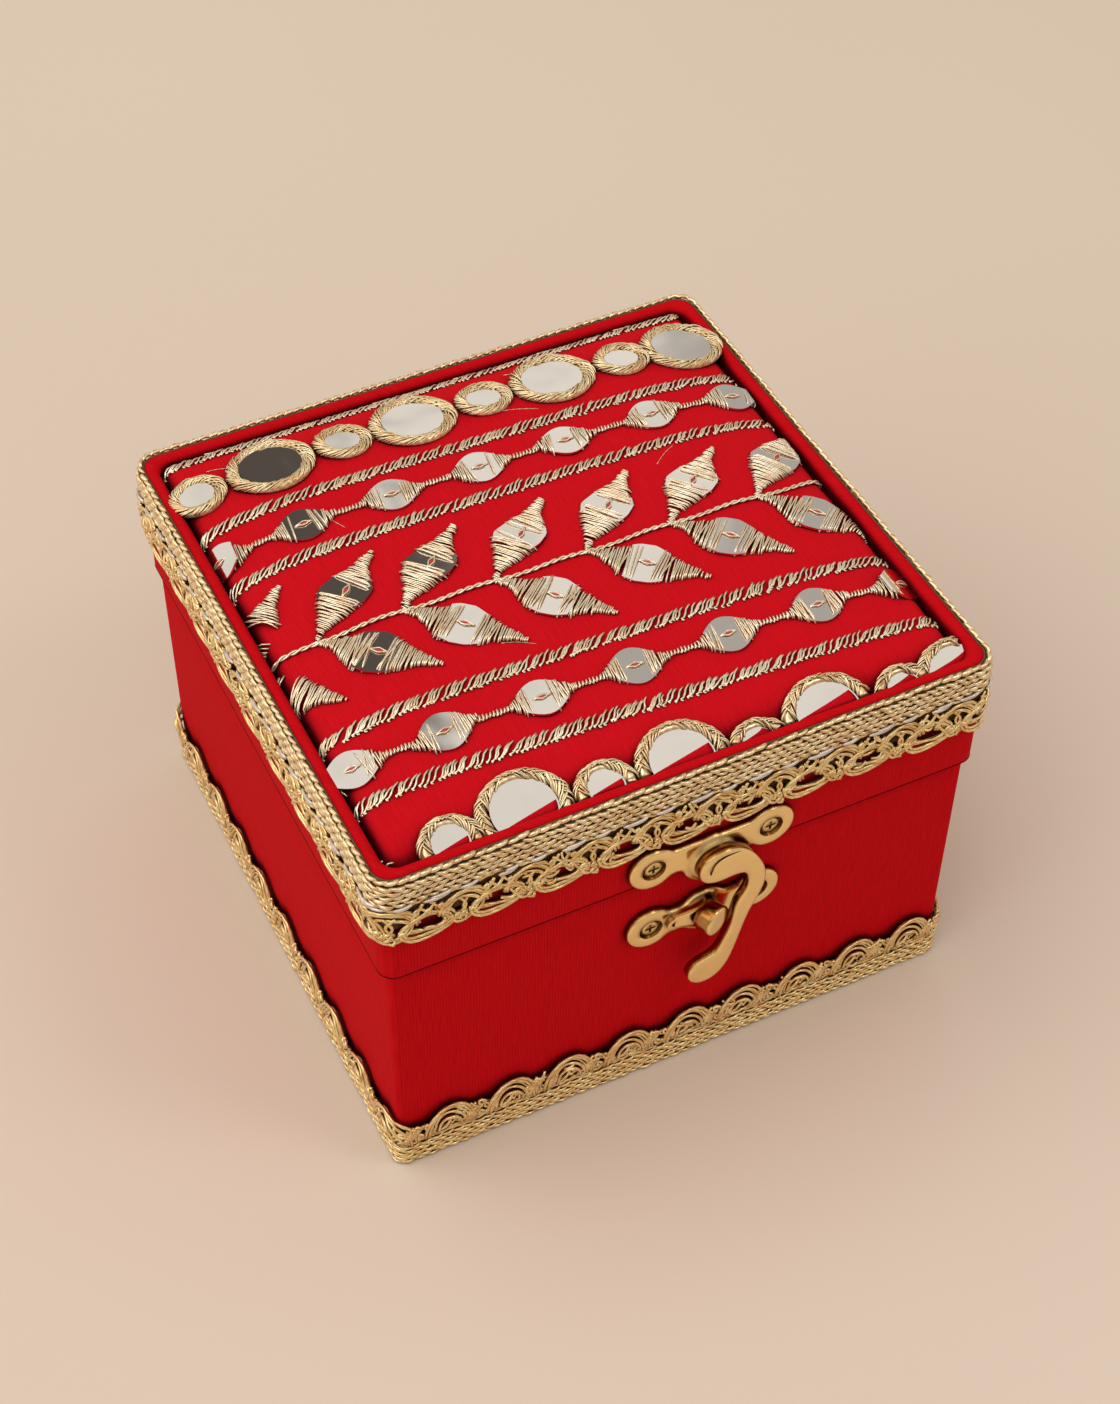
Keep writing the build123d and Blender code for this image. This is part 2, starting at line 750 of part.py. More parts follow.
def hinge_leaf(direction, turns):
    """One leaf in place at x = 0, above (1) or below (-1) the pin, with the knuckles in turns."""
    far = hinge_axis_z + direction * hinge_leaf_height
    near = hinge_axis_z + direction * leaf_start
    low, high = min(near, far), max(near, far)
    back = back_face + hinge_leaf_thickness
    leaf = slab((-hinge_length / 2, hinge_length / 2, back_face, back), low, high)
    for turn in turns:
        x = (turn - (hinge_knuckle_count - 1) / 2) * knuckle_pitch
        left, right = x - knuckle_length / 2, x + knuckle_length / 2
        tab_low, tab_high = min(near, hinge_axis_z), max(near, hinge_axis_z)
        leaf += slab((left, right, back_face + running_clearance, back), tab_low, tab_high)
        leaf += Pos(left, hinge_axis_y, hinge_axis_z) * Rot(0, 90, 0) * extrude(
            Circle(hinge_knuckle_radius), amount=knuckle_length
        )
    bore = extrude(Circle(hinge_pin_radius + pin_clearance), amount=hinge_length)
    leaf -= Pos(-hinge_length / 2, hinge_axis_y, hinge_axis_z) * Rot(0, 90, 0) * bore
    for side in (-1, 1):
        x, z = side * hinge_screw_spacing / 2, hinge_axis_z + direction * hinge_screw_height
        leaf -= facing_back(x, back, z) * screw_hole(hinge_screw_grip)
    return leaf


base_turns = range(0, hinge_knuckle_count, 2)
lid_turns = range(1, hinge_knuckle_count, 2)
hinge_pin = Pos(-hinge_length / 2, hinge_axis_y, hinge_axis_z) * Rot(0, 90, 0) * extrude(
    Circle(hinge_pin_radius), amount=hinge_length
)
for name, x in zip(("left", "right"), hinge_places):
    parts[f"hinge_{name}_base_leaf"] = Pos(x, 0, 0) * hinge_leaf(-1, base_turns)
    parts[f"hinge_{name}_lid_leaf"] = Pos(x, 0, 0) * hinge_leaf(1, lid_turns)
    parts[f"hinge_{name}_pin"] = Pos(x, 0, 0) * hinge_pin
for name, direction in (("base", -1), ("lid", 1)):
    parts[f"hinge_{name}_screws"] = Compound(
        children=[
            facing_back(x, back_face + hinge_leaf_thickness, z) * screw(hinge_screw_grip)
            for x, z in hinge_screw_places(direction)
        ]
    )

for name, shape in parts.items():
    export_step(shape, f"parts/{name}.step")
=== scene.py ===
import math

import bpy
import numpy as np
from mathutils import Matrix


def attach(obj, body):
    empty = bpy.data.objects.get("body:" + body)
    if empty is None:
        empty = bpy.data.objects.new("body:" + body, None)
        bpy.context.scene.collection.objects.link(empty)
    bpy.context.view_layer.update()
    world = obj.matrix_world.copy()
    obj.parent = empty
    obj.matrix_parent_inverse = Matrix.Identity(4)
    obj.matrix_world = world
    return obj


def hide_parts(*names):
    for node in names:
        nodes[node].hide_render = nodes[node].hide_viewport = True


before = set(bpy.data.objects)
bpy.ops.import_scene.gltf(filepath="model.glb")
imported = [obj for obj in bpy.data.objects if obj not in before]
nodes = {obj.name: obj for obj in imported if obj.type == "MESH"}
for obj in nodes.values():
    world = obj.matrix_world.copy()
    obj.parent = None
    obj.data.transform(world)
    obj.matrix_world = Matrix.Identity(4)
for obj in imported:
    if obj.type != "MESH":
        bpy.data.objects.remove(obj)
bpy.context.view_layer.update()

# Studio: the camera stands in front of the left corner and looks down at the lid, over a pale
# warm paper floor, with one broad soft lamp high on the left and a weaker one on the right.
camera = bpy.data.objects.new("camera", bpy.data.cameras.new("camera"))
camera.data.lens = 63.86
camera.data.sensor_width = 36.0
camera.data.clip_end = 20.0
camera_right = (0.89712, -0.44167, 0.00995)
camera_down = (-0.3164, -0.65805, -0.68327)
camera_ahead = (0.30833, 0.60983, -0.7301)
camera_turn = Matrix((camera_right, [-v for v in camera_down], [-v for v in camera_ahead]))
camera.matrix_world = camera_turn.transposed().to_4x4()
camera.location = (-0.15798, -0.31793, 0.42718)
bpy.context.scene.collection.objects.link(camera)
bpy.context.scene.camera = camera
bpy.context.scene.view_settings.view_transform = "Standard"


def linear(red, green, blue):
    """A colour given in display values from 0 to 255, as linear light."""
    share = np.array((red, green, blue)) / 255
    light = np.where(share < 0.04045, share / 12.92, ((share + 0.055) / 1.055) ** 2.4)
    return (*light.tolist(), 1.0)


def feed(tree, made, **feeds):
    """Sets inputs of a shader node by name, or i0, i1 and so on by number: a number or a colour
    on the input itself, and a socket by a link. Returns the node."""
    for name, value in feeds.items():
        numbered = name[0] == "i" and name[1:].isdigit()
        place = made.inputs[int(name[1:]) if numbered else name.replace("_", " ")]
        if isinstance(value, bpy.types.NodeSocket):
            tree.links.new(value, place)
        else:
            place.default_value = value
    return made


def node(tree, kind, props=None, **feeds):
    """Adds a shader node with these properties and feeds its inputs."""
    made = tree.nodes.new("ShaderNode" + kind)
    for name, value in (props or {}).items():
        setattr(made, name, value)
    return feed(tree, made, **feeds)


def new_material(name):
    """A new material, its node tree and its Principled shader."""
    material = bpy.data.materials.new(name)
    material.use_nodes = True
    return material, material.node_tree, material.node_tree.nodes["Principled BSDF"]


def blend(tree, share, low, high):
    """A colour on the way from low to high, each of which is a colour or a socket."""
    return node(tree, "Mix", {"data_type": "RGBA"}, Factor=share, A=low, B=high).outputs["Result"]


def noise(tree, scale, detail, place=None):
    """A noise with scale spots per metre, by the object's own coordinates or the place given."""
    place = place or node(tree, "TexCoord").outputs["Object"]
    return node(tree, "TexNoise", Vector=place, Scale=scale, Detail=detail).outputs["Fac"]


def bumped(tree, strength, distance, height, **feeds):
    """The normal of a surface raised by a height socket times the distance in metres."""
    bump = node(tree, "Bump", Strength=strength, Distance=distance, Height=height, **feeds)
    return bump.outputs["Normal"]


paper, tree, shader = new_material("paper floor")
tone = blend(tree, noise(tree, 2.2, 2.0), linear(214, 196, 177), linear(226, 210, 194))
grain = bumped(tree, 0.1, 0.0002, noise(tree, 900.0, 2.0))
feed(tree, shader, Base_Color=tone, Roughness=0.85, Specular_IOR_Level=0.15, Normal=grain)

floor_mesh = bpy.data.meshes.new("floor")
far = 4.0
floor_corners = [(-far, -far, 0), (far, -far, 0), (far, far, 0), (-far, far, 0)]
floor_mesh.from_pydata(floor_corners, [], [(0, 1, 2, 3)])
floor_mesh.materials.append(paper)
floor = bpy.data.objects.new("floor", floor_mesh)
bpy.context.scene.collection.objects.link(floor)


def unit(vector):
    """The same directions at length 1."""
    return vector / (np.linalg.norm(vector, axis=-1, keepdims=True) + 1e-12)


def soft_lamp(name, place, aim, size, power, tint):
    """A square area lamp at place, in metres, that faces the point aim."""
    lamp = bpy.data.objects.new(name, bpy.data.lights.new(name, "AREA"))
    lamp.data.size = size
    lamp.data.energy = power
    lamp.data.color = tint
    back = unit(np.subtract(place, aim))
    side = unit(np.cross((0, 0, 1), back))
    turn = Matrix((side, np.cross(back, side), back)).transposed().to_4x4()
    lamp.matrix_world = Matrix.Translation(place) @ turn
    bpy.context.scene.collection.objects.link(lamp)


box_middle = (0, 0, 0.05)
soft_lamp("window", (-0.95, 0.1, 1.5), box_middle, 2.0, 19.0, (1.0, 0.985, 0.965))
soft_lamp("side lamp", (0.75, -0.75, 1.35), box_middle, 0.45, 2.9, (1.0, 0.98, 0.95))


def ramp(tree, value, start, end, low=0.0, high=1.0):
    """A value that goes smoothly from low to high as the socket goes from start to end."""
    return node(
        tree, "MapRange", {"interpolation_type": "SMOOTHSTEP"},
        Value=value, From_Min=start, From_Max=end, To_Min=low, To_Max=high,
    ).outputs[0]


def combine(tree, how, *values):
    """A Math node of the kind how on the values, each of which is a number or a socket."""
    feeds = {f"i{number}": value for number, value in enumerate(values)}
    return node(tree, "Math", {"operation": how}, **feeds).outputs[0]


# The room's light: even and warm. What polished things pick up of it is brighter and uneven: a
# dim corner to the left behind the box, a dim wall far right, and a dim band low in front.
world = bpy.data.worlds.new("room")
bpy.context.scene.world = world
world.use_nodes = True
room = world.node_tree
way = node(room, "TexCoord").outputs["Generated"]
compass = node(room, "SeparateXYZ", Vector=way).outputs
slant = combine(room, "DIVIDE", compass["X"], compass["Y"])
slant = combine(room, "MULTIPLY_ADD", noise(room, 5.0, 2.0, way), 0.3, slant)
behind = ramp(room, compass["Y"], 0.1, 0.3)
left_of, right_of = ramp(room, slant, 0.43, 0.53, 0.95, 0.0), ramp(room, slant, 0.08, 0.2)
left_corner = combine(room, "MULTIPLY", left_of, right_of)
far_right = ramp(room, slant, 0.79, 0.9, 0.0, 0.5)
dim_back = combine(room, "MULTIPLY", combine(room, "MAXIMUM", left_corner, far_right), behind)
low_band = ramp(room, compass["Z"], 0.62, 0.38, 0.0, 0.65)
dim_front = combine(room, "MULTIPLY", ramp(room, compass["Y"], -0.2, -0.7), low_band)
uneven = ramp(room, noise(room, 11.0, 3.0, way), 0.4, 0.65, 0.0, 0.12)
dim = combine(room, "MAXIMUM", combine(room, "MAXIMUM", dim_back, dim_front), uneven)
mirrored = blend(room, dim, (1.36, 1.31, 1.24, 1.0), (0.085, 0.062, 0.05, 1.0))
gloss = node(room, "LightPath").outputs["Is Glossy Ray"]
light = blend(room, gloss, linear(240, 232, 224), mirrored)
feed(room, room.nodes["Background"], Color=light, Strength=0.68)


# Lid and base cloth: one red ribbed silk-like cloth, glued over the boards, round the top of
# the walls as a soft rim, and turned in. Each cover is one closed strip carried round the box.
millimetre = 0.001


def lay_mesh(name, body, slot, material, points, *face_sets, marks=None, smooth=True):
    """A piece from points in millimetres and any number of sets of equal-sided faces.
    marks, if given, has one pair of thread coordinates for each corner of each face."""
    mesh = bpy.data.meshes.new(name)
    mesh.vertices.add(len(points))
    mesh.vertices.foreach_set("co", (np.asarray(points, float) * millimetre).ravel())
    corners = np.concatenate([faces.ravel() for faces in face_sets])
    widths = np.concatenate([np.full(len(faces), faces.shape[1]) for faces in face_sets])
    mesh.loops.add(len(corners))
    mesh.loops.foreach_set("vertex_index", corners.astype(np.int32))
    mesh.polygons.add(len(widths))
    starts = np.concatenate([[0], np.cumsum(widths)[:-1]])
    mesh.polygons.foreach_set("loop_start", starts.astype(np.int32))
    mesh.polygons.foreach_set("use_smooth", np.full(len(widths), smooth))
    mesh.update(calc_edges=True)
    if marks is not None:
        layer = mesh.uv_layers.new(name="thread")
        layer.data.foreach_set("uv", np.asarray(marks, np.float32).ravel())
    mesh.validate()
    piece = bpy.data.objects.new(name, mesh)
    mesh.materials.append(material)
    bpy.context.scene.collection.objects.link(piece)
    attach(piece, body)
    return piece


def round_box(half_x, half_y, centre_y, radius, per_side, per_corner):
    """Points and outward directions round a rounded rectangle, from the front left corner.
    Each side is a straight run and each corner a quarter of a circle of the given radius."""
    corners = np.array(((-1, -1), (1, -1), (1, 1), (-1, 1), (-1, -1)))
    corners = corners * (half_x - radius, half_y - radius)
    share = np.linspace(0, 1, per_side, endpoint=False)[:, None]
    places, faces = [], []
    for quarter, (here, there) in enumerate(zip(corners[:-1], corners[1:])):
        start = math.pi * (1.5 + 0.5 * quarter)
        out = np.array((round(math.cos(start)), round(math.sin(start))))
        turn = start + np.linspace(0, math.pi / 2, per_corner, endpoint=False)
        around = np.stack((np.cos(turn), np.sin(turn)), -1)
        places += [here + out * radius + (there - here) * share, there + around * radius]
        faces += [np.repeat(out[None, :], per_side, 0), around]
    return np.concatenate(places) + (0, centre_y), np.concatenate(faces)


def carry_round(profile, half_x, half_y, centre_y, radius, least_radius, per_side=60):
    """A closed profile of (inset, height) points carried round a rounded rectangle.
    A point that is inset by d runs on the rectangle shrunk by d, whose corners shrink too.
    The radius is given as heights and the radius at each of them."""
    loops = []
    for inset, height in profile:
        corner = max(np.interp(height, *radius) - inset, least_radius)
        ring, _ = round_box(half_x - inset, half_y - inset, centre_y, corner, per_side, 8)
        loops.append(np.column_stack((ring, np.full(len(ring), height))))
    points = np.array(loops)
    across, along = points.shape[:2]
    i, j = np.meshgrid(np.arange(across), np.arange(along), indexing="ij")
    k, m = (i + 1) % across, (j + 1) % along
    faces = np.stack((i * along + j, i * along + m, k * along + m, k * along + j), -1)
    return points.reshape(-1, 3), faces.reshape(-1, 4)


def arc(centre, radius, start, end, count):
    """Points (inset, height) on a circle from one angle to another, in degrees."""
    turn = np.radians(np.linspace(start, end, count))
    return [(centre[0] + radius * math.cos(a), centre[1] + radius * math.sin(a)) for a in turn]


def new_group(name, given, made):
    """A shader group with number sockets of these names, and what it is given and has to make."""
    group = bpy.data.node_groups.new(name, "ShaderNodeTree")
    for names, way in ((given, "INPUT"), (made, "OUTPUT")):
        for socket in names:
            group.interface.new_socket(socket, in_out=way, socket_type="NodeSocketFloat")
    start, end = group.nodes.new("NodeGroupInput"), group.nodes.new("NodeGroupOutput")
    return group, start.outputs, end.inputs


def weave_group():
    """Ribbed cloth: fine ribs that waver and swell, with long slubs along them.
    The rib is a sine of the distance across, pushed sideways by a slow noise."""
    group, given, made = new_group(
        "ribbed weave", ("Across", "Along", "Pitch", "Waver"), ("Height", "Shade")
    )
    flat = node(group, "CombineXYZ", X=given["Across"], Y=given["Along"]).outputs[0]
    push = combine(group, "MULTIPLY", noise(group, 120.0, 2.0, flat), given["Waver"])
    count = combine(group, "DIVIDE", given["Across"], given["Pitch"])
    turn = combine(group, "MULTIPLY", combine(group, "ADD", count, push), math.tau)
    rib = combine(group, "SINE", turn)
    grain = (2600.0, 160.0, 1.0)
    long = node(group, "VectorMath", {"operation": "MULTIPLY"}, i0=flat, i1=grain).outputs[0]
    height = combine(group, "MULTIPLY_ADD", rib, 0.19, noise(group, 1.0, 3.0, long))
    fibre = noise(group, 5200.0, 1.0, flat)
    height = combine(group, "MULTIPLY_ADD", fibre, 0.35, height)
    # The Shade output is partly painted shade, darker in the troughs between the ribs, and partly
    # the yarn's own tone from the slubs and fibre.
    shade = node(group, "MapRange", Value=height, From_Min=0.2, From_Max=1.2).outputs[0]
    group.links.new(height, made["Height"])
    group.links.new(shade, made["Shade"])
    return group


ribbed_weave = weave_group()


def paint_occlusion_shade(tree, colour, painted_shade, reach, shut, clear):
    """Painted shade from occlusion: the colour where the share of open space around, as far as
    reach, is clear or more, and the painted shade colour where it is shut or less."""
    around = node(tree, "AmbientOcclusion", {"samples": 6}, Distance=reach).outputs["AO"]
    return blend(tree, ramp(tree, around, shut, clear), painted_shade, colour)


def woven(name, low, high, pitch, waver, relief, gloss, along="Z"):
    """A woven cloth whose ribs run along Z, or along Y on the pad, pitch metres apart."""
    material, tree, shader = new_material(name)
    place = node(tree, "SeparateXYZ", Vector=node(tree, "TexCoord").outputs["Object"]).outputs
    across = place["X"] if along == "Y" else combine(tree, "ADD", place["X"], place["Y"])
    weave = node(
        tree, "Group", {"node_tree": ribbed_weave},
        Across=across, Along=place[along], Pitch=pitch, Waver=waver,
    ).outputs
    # The cloth's colour: partly painted shade in the rib troughs, partly the yarn's own tone.
    colour = blend(tree, weave["Shade"], linear(*low), linear(*high))
    # Painted shade: the cloth turns dark red where little space around it is open, as under the
    # lid's lip and beside the lace and latch.
    colour = paint_occlusion_shade(tree, colour, linear(70, 0, 8), 0.004, 0.3, 0.95)
    raised = bumped(tree, relief, 0.0001, weave["Height"])
    feed(tree, shader, Base_Color=colour, Roughness=0.75, Specular_IOR_Level=gloss, Normal=raised)
    return material


wall_cloth = woven("ribbed red cloth", (172, 6, 14), (210, 14, 24), 0.00062, 0.6, 0.45, 0.03)
pad_cloth = woven("plain red cloth", (182, 6, 18), (212, 14, 28), 0.0005, 0.3, 0.35, 0.06, "Y")
lining_cloth = woven("red satin lining", (128, 8, 18), (150, 14, 24), 0.0007, 0.3, 0.15, 0.3)
# Dark red cloth for the turned edge under the lid: painted shadow of the seam.
seam_shadow_cloth = woven("red cloth darkened as painted seam shadow", (76, 2, 8), (98, 4, 12), 0.00062, 0.6, 0.3, 0.03)

lid_half, lid_least_corner = (63.5, 62.0), 3.3
rim_middle, rim_radius = 88.45, 1.55
lid_profile = (
    [(3.1, 68.0), (3.1, 63.0)]
    + arc((2.5, 62.6), 0.6, 0, -90, 5)
    + arc((0.35, 62.35), 0.35, 270, 180, 5)
    + [(0.0, 70.0), (0.0, 80.0)]
    + arc((rim_radius, rim_middle), rim_radius, 180, 0, 15)
    + [(3.1, 86.0), (3.1, 84.0), (2.8, 84.0), (2.8, 88.2)]
    + arc((1.55, 88.35), 1.25, 0, 180, 9)
    + [(0.3, 80.0), (0.3, 62.4), (2.8, 62.4), (2.8, 68.0)]
)
lid_corner = ((72.0, 88.0), (2.4, 4.2))
points, faces = carry_round(lid_profile, *lid_half, 0.0, lid_corner, lid_least_corner)
lid_cover = lay_mesh("lid_cover", "lid", "red_cloth", wall_cloth, points, faces[:, ::-1])
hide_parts("lid_cover_cloth")

# A turned edge of the red cloth along the lid's foot, coloured dark red as a painted shadow line at
# the seam under the lid's lip.
seam_shadow_profile = [(0.7, 62.05), (0.12, 61.96), (-0.04, 62.08), (-0.04, 62.34), (0.7, 62.42)]
points, faces = carry_round(seam_shadow_profile, *lid_half, 0.0, lid_corner, lid_least_corner)
lay_mesh("lid_seam_shadow_edge", "lid", "red_cloth", seam_shadow_cloth, points, faces)

base_half, base_centre = (62.0, 61.25), 0.75
base_profile = (
    [(3.1, 50.0), (3.1, 61.3)]
    + arc((2.4, 61.3), 0.7, 0, 90, 5)
    + arc((0.7, 61.3), 0.7, 90, 180, 6)
    + [(0.0, 40.0), (0.0, 20.0)]
    + arc((0.5, 1.3), 0.5, 180, 270, 4)
    + [(2.8, 0.8), (2.8, 1.1), (0.3, 1.1), (0.3, 61.7), (2.8, 61.7), (2.8, 50.0)]
)
base_corner = ((0.0, 62.0), (1.4, 1.4))
points, faces = carry_round(base_profile, *base_half, base_centre, base_corner, 0.6)
base_cover = lay_mesh("base_cover", "base", "red_cloth", wall_cloth, points, faces)
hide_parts("base_cover_cloth")

# Padded panel: red cloth drawn over wadding on a card and dropped into the rim. It is full
# towards the back, falls to the front, and the cloth rolls over the card's edge into the gap.
pad_half = (59.6, 58.1)
pad_edge_level = 89.0
pad_rise = 3.8
side_roll, front_roll, back_roll = 2.5, 8.0, 1.5
row_levels = (57.0, 34.3, 18.1, -4.7, -27.2, -44.6)
trough_depth, trough_width = 0.18, 1.6


def roll_over(distance, half, roll):
    """Cloth measured from the middle: flat up to a roll's radius from the edge, then round a
    quarter circle, then straight down. Returns the plan distance and how far it has dropped."""
    far = np.abs(distance)
    over = np.maximum(far - (half - roll), 0)
    turn = np.minimum(over / roll, math.pi / 2)
    plan = np.minimum(far, half - roll) + roll * np.sin(turn)
    drop = roll * (1 - np.cos(turn)) + np.maximum(over - roll * math.pi / 2, 0)
    return np.sign(distance) * plan, drop


def pad_surface(x, y):
    """The cloth's surface at cloth coordinates x, y: one crown that is 1 less the fifth power
    across, times 1 less a power of 2.4 in front or 6 behind, with rolled edges, and a shallow
    trough along each sewn row."""
    roll_y = np.where(y < 0, front_roll, back_roll)
    px, drop_x = roll_over(x, pad_half[0], side_roll)
    py, drop_y = roll_over(y, pad_half[1] + np.where(y < 0, 0, 0.6), roll_y)
    share_x = np.abs(px / pad_half[0]) ** 5
    share_y = np.abs(py / pad_half[1]) ** np.where(y < 0, 2.4, 6.0)
    z = pad_edge_level + pad_rise * (1 - share_x) * (1 - share_y) - drop_x - drop_y
    for level in row_levels:
        z = z - trough_depth * np.exp(-(((y - level) / trough_width) ** 2))
    return np.stack((px, py, z), -1)


def on_pad(x, y, height=0.0):
    """Points a height off the cloth, along its normal, which comes from small steps each way."""
    x, y = np.broadcast_arrays(np.asarray(x, float), np.asarray(y, float))
    step = 0.05
    slope_x = pad_surface(x + step, y) - pad_surface(x - step, y)
    slope_y = pad_surface(x, y + step) - pad_surface(x, y - step)
    normal = unit(np.cross(slope_x, slope_y))
    return pad_surface(x, y) + normal * np.asarray(height)[..., None], normal


def slab(top, foot):
    """A closed piece from two grids of points, top and foot, with a wall round their edges."""
    rows, columns = top.shape[:2]
    index = np.arange(rows * columns).reshape(rows, columns)
    upper = np.stack((index[:-1, :-1], index[1:, :-1], index[1:, 1:], index[:-1, 1:]), -1)
    upper = upper.reshape(-1, 4)
    rim = np.concatenate((index[:-1, 0], index[-1, :-1], index[:0:-1, -1], index[0, :0:-1]))
    after, below = np.roll(rim, -1), rows * columns
    wall = np.stack((rim, rim + below, after + below, after), -1)
    points = np.concatenate((top.reshape(-1, 3), foot.reshape(-1, 3)))
    return points, np.concatenate((upper, upper[:, ::-1] + below, wall))


def pad_mesh():
    """A closed pillow: a grid over the panel with rounded corners, whose edge runs on down the
    side by rolling over, joined to a flat underside."""
    spill, corner, under = 2.6, 5.0, 85.5
    span = np.linspace(-1, 1, 181)
    u, v = np.meshgrid(span, span, indexing="ij")
    reach_x, reach_y = pad_half[0] + spill, pad_half[1] + spill
    x, y = u * reach_x, v * reach_y
    beyond_x = np.maximum(np.abs(x) - (reach_x - corner), 0)
    beyond_y = np.maximum(np.abs(y) - (reach_y - corner), 0)
    longest = np.maximum(beyond_x, beyond_y)
    straight = np.hypot(beyond_x, beyond_y)
    pull = np.where(straight > 0, longest / np.maximum(straight, 1e-9), 1)
    x = np.sign(x) * (np.abs(x) - beyond_x + beyond_x * pull)
    y = np.sign(y) * (np.abs(y) - beyond_y + beyond_y * pull)
    top = pad_surface(x, y)
    ripple = 0.06 * np.sin(x * 0.31 + 1.3 * np.sin(y * 0.17)) * np.cos(y * 0.23 + 0.4)
    top[..., 2] = np.maximum(top[..., 2] + ripple, under + 0.1)
    foot = top.copy()
    foot[..., 2] = under
    return slab(top, foot)


pad = lay_mesh("padded_panel", "lid", "red_cloth", pad_cloth, *pad_mesh())
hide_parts("panel_embroidered_cloth", "panel_padding")

# Round mirrors: small discs of silvered glass sewn on in two rows, large and small in turn.
# Those of the back row lie on the crown, and those of the front row tip over its front roll.
mirror_glass, tree, shader = new_material("silvered glass")
ripple = bumped(tree, 0.25, 0.0006, noise(tree, 90.0, 1.0))
glass_tint = linear(230, 224, 216)
feed(tree, shader, Base_Color=glass_tint, Metallic=1.0, Roughness=0.06, Normal=ripple)
chance = np.random.default_rng(7)

back_row = [
    (-56.2, 45.7, 0), (-40.3, 46.0, 1), (-24.4, 46.2, 0), (-8.9, 46.0, 1),
    (7.2, 46.0, 0), (22.9, 45.8, 1), (39.1, 45.6, 0), (53.4, 45.4, 1),
]
back_tips = (0.0, 0.0, 0.06, 0.018, 0.03, 0.0, 0.01, -0.02)
front_row = [
    (-47.4, -57.4, 0), (-32.3, -56.2, 1), (-16.7, -57.8, 0), (-1.0, -57.8, 1),
    (14.2, -60.2, 0), (29.3, -59.0, 1), (45.5, -59.8, 0), (57.4, -60.6, 1),
]
ring_sizes = ((3.3, 6.1), (6.1, 9.0))
rim_inside = 60.6


class Seat:
    """Where a stiff mirror sits: a point on the cloth, and the directions across it, up its
    slope and out of it. A tilted one hangs from the cloth under its ring's upper edge."""

    def __init__(self, x, y, size, tilt=None, tip=0.0):
        if tilt is None:
            self.middle, out = on_pad(x, y)
            self.out = unit(out + (tip, 0.012 * chance.normal(), 0))
        else:
            outer, slope = ring_sizes[size][1], math.radians(tilt)
            spot, _ = on_pad(x, y + outer)
            self.out = unit(np.array((0.02 * chance.normal(), -math.sin(slope), math.cos(slope))))
            fall = np.array((0, -math.cos(slope), -math.sin(slope)))
            self.middle = spot + fall * outer + self.out * 0.35
        self.across = unit(np.cross((0, 1, 0), self.out))
        self.up = np.cross(self.out, self.across)

    def at(self, a, b, height):
        a, b, height = (value[..., None] for value in np.broadcast_arrays(a, b, height))
        return self.middle + a * self.across + b * self.up + height * self.out


def within_rim(seat, a):
    """Narrows the right half of each chord, along the first axis of a, to end before the rim."""
    limit = (rim_inside - seat.middle[0]) / seat.across[0]
    widest = np.maximum(a.max(0), 1e-6)
    return np.where(a > 0, a * np.minimum(1, limit / widest), a)


def glass_disc(seat, radius, low=None, thickness=0.55):
    """A flat disc, or the part of it above the line b = low. The grid's lines are chords of the
    circle, from one edge to the other."""
    low = -radius if low is None else max(low, -radius)
    b = low + (radius - low) * (1 - np.cos(np.linspace(0, math.pi, 22))) / 2
    chord = np.sqrt(np.maximum(radius**2 - b**2, 1e-4))
    a = within_rim(seat, np.linspace(-1, 1, 18)[:, None] * chord)
    return slab(seat.at(a, b, thickness + 0.25), seat.at(a, b, 0.05))


def join(parts):
    """Several sets of points and four-cornered faces as one."""
    points, faces, count = [], [], 0
    for spots, corners in parts:
        points.append(spots)
        faces.append(corners + count)
        count += len(spots)
    return np.concatenate(points), np.concatenate(faces)


front_tilt, front_cut = 19.0, -58.4
seats = [(Seat(*place, tip=tip), place[2], None) for place, tip in zip(back_row, back_tips)]
seats += [(Seat(*place, front_tilt), place[2], front_cut) for place in front_row]


def lowest_b(seat, cut):
    """How far down its own slope a mirror may reach before it meets the rim."""
    return None if cut is None else (cut - seat.middle[1]) / seat.up[1]


for size, name in ((1, "large_round_mirrors"), (0, "small_round_mirrors")):
    radius = ring_sizes[size][0] + 0.35
    discs = [
        glass_disc(seat, radius, lowest_b(seat, cut)) for seat, kind, cut in seats if kind == size
    ]
    piece = lay_mesh(
        name + "_glass", "lid", "mirror_glass", mirror_glass, *join(discs), smooth=False
    )
    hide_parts(name)


# Gold thread: a metal-wrapped thread, drawn as a round tube with a twisted surface. Every
# stitch on the lid and every cord in the lace is a run of points that such a tube follows.
def twist_group():
    """Two twisted plies: a sine of the length over the turn plus twice the way round."""
    group, given, made = new_group("twisted ply", ("Turn",), ("Height",))
    marks = node(group, "UVMap", {"uv_map": "thread"}).outputs[0]
    split = node(group, "SeparateXYZ", Vector=marks).outputs
    turns = combine(group, "DIVIDE", split["X"], given["Turn"])
    turns = combine(group, "MULTIPLY_ADD", split["Y"], 2.0, turns)
    wave = combine(group, "SINE", combine(group, "MULTIPLY", turns, math.tau))
    group.links.new(combine(group, "MULTIPLY_ADD", wave, 0.5, 0.5), made["Height"])
    return group


twisted_ply = twist_group()


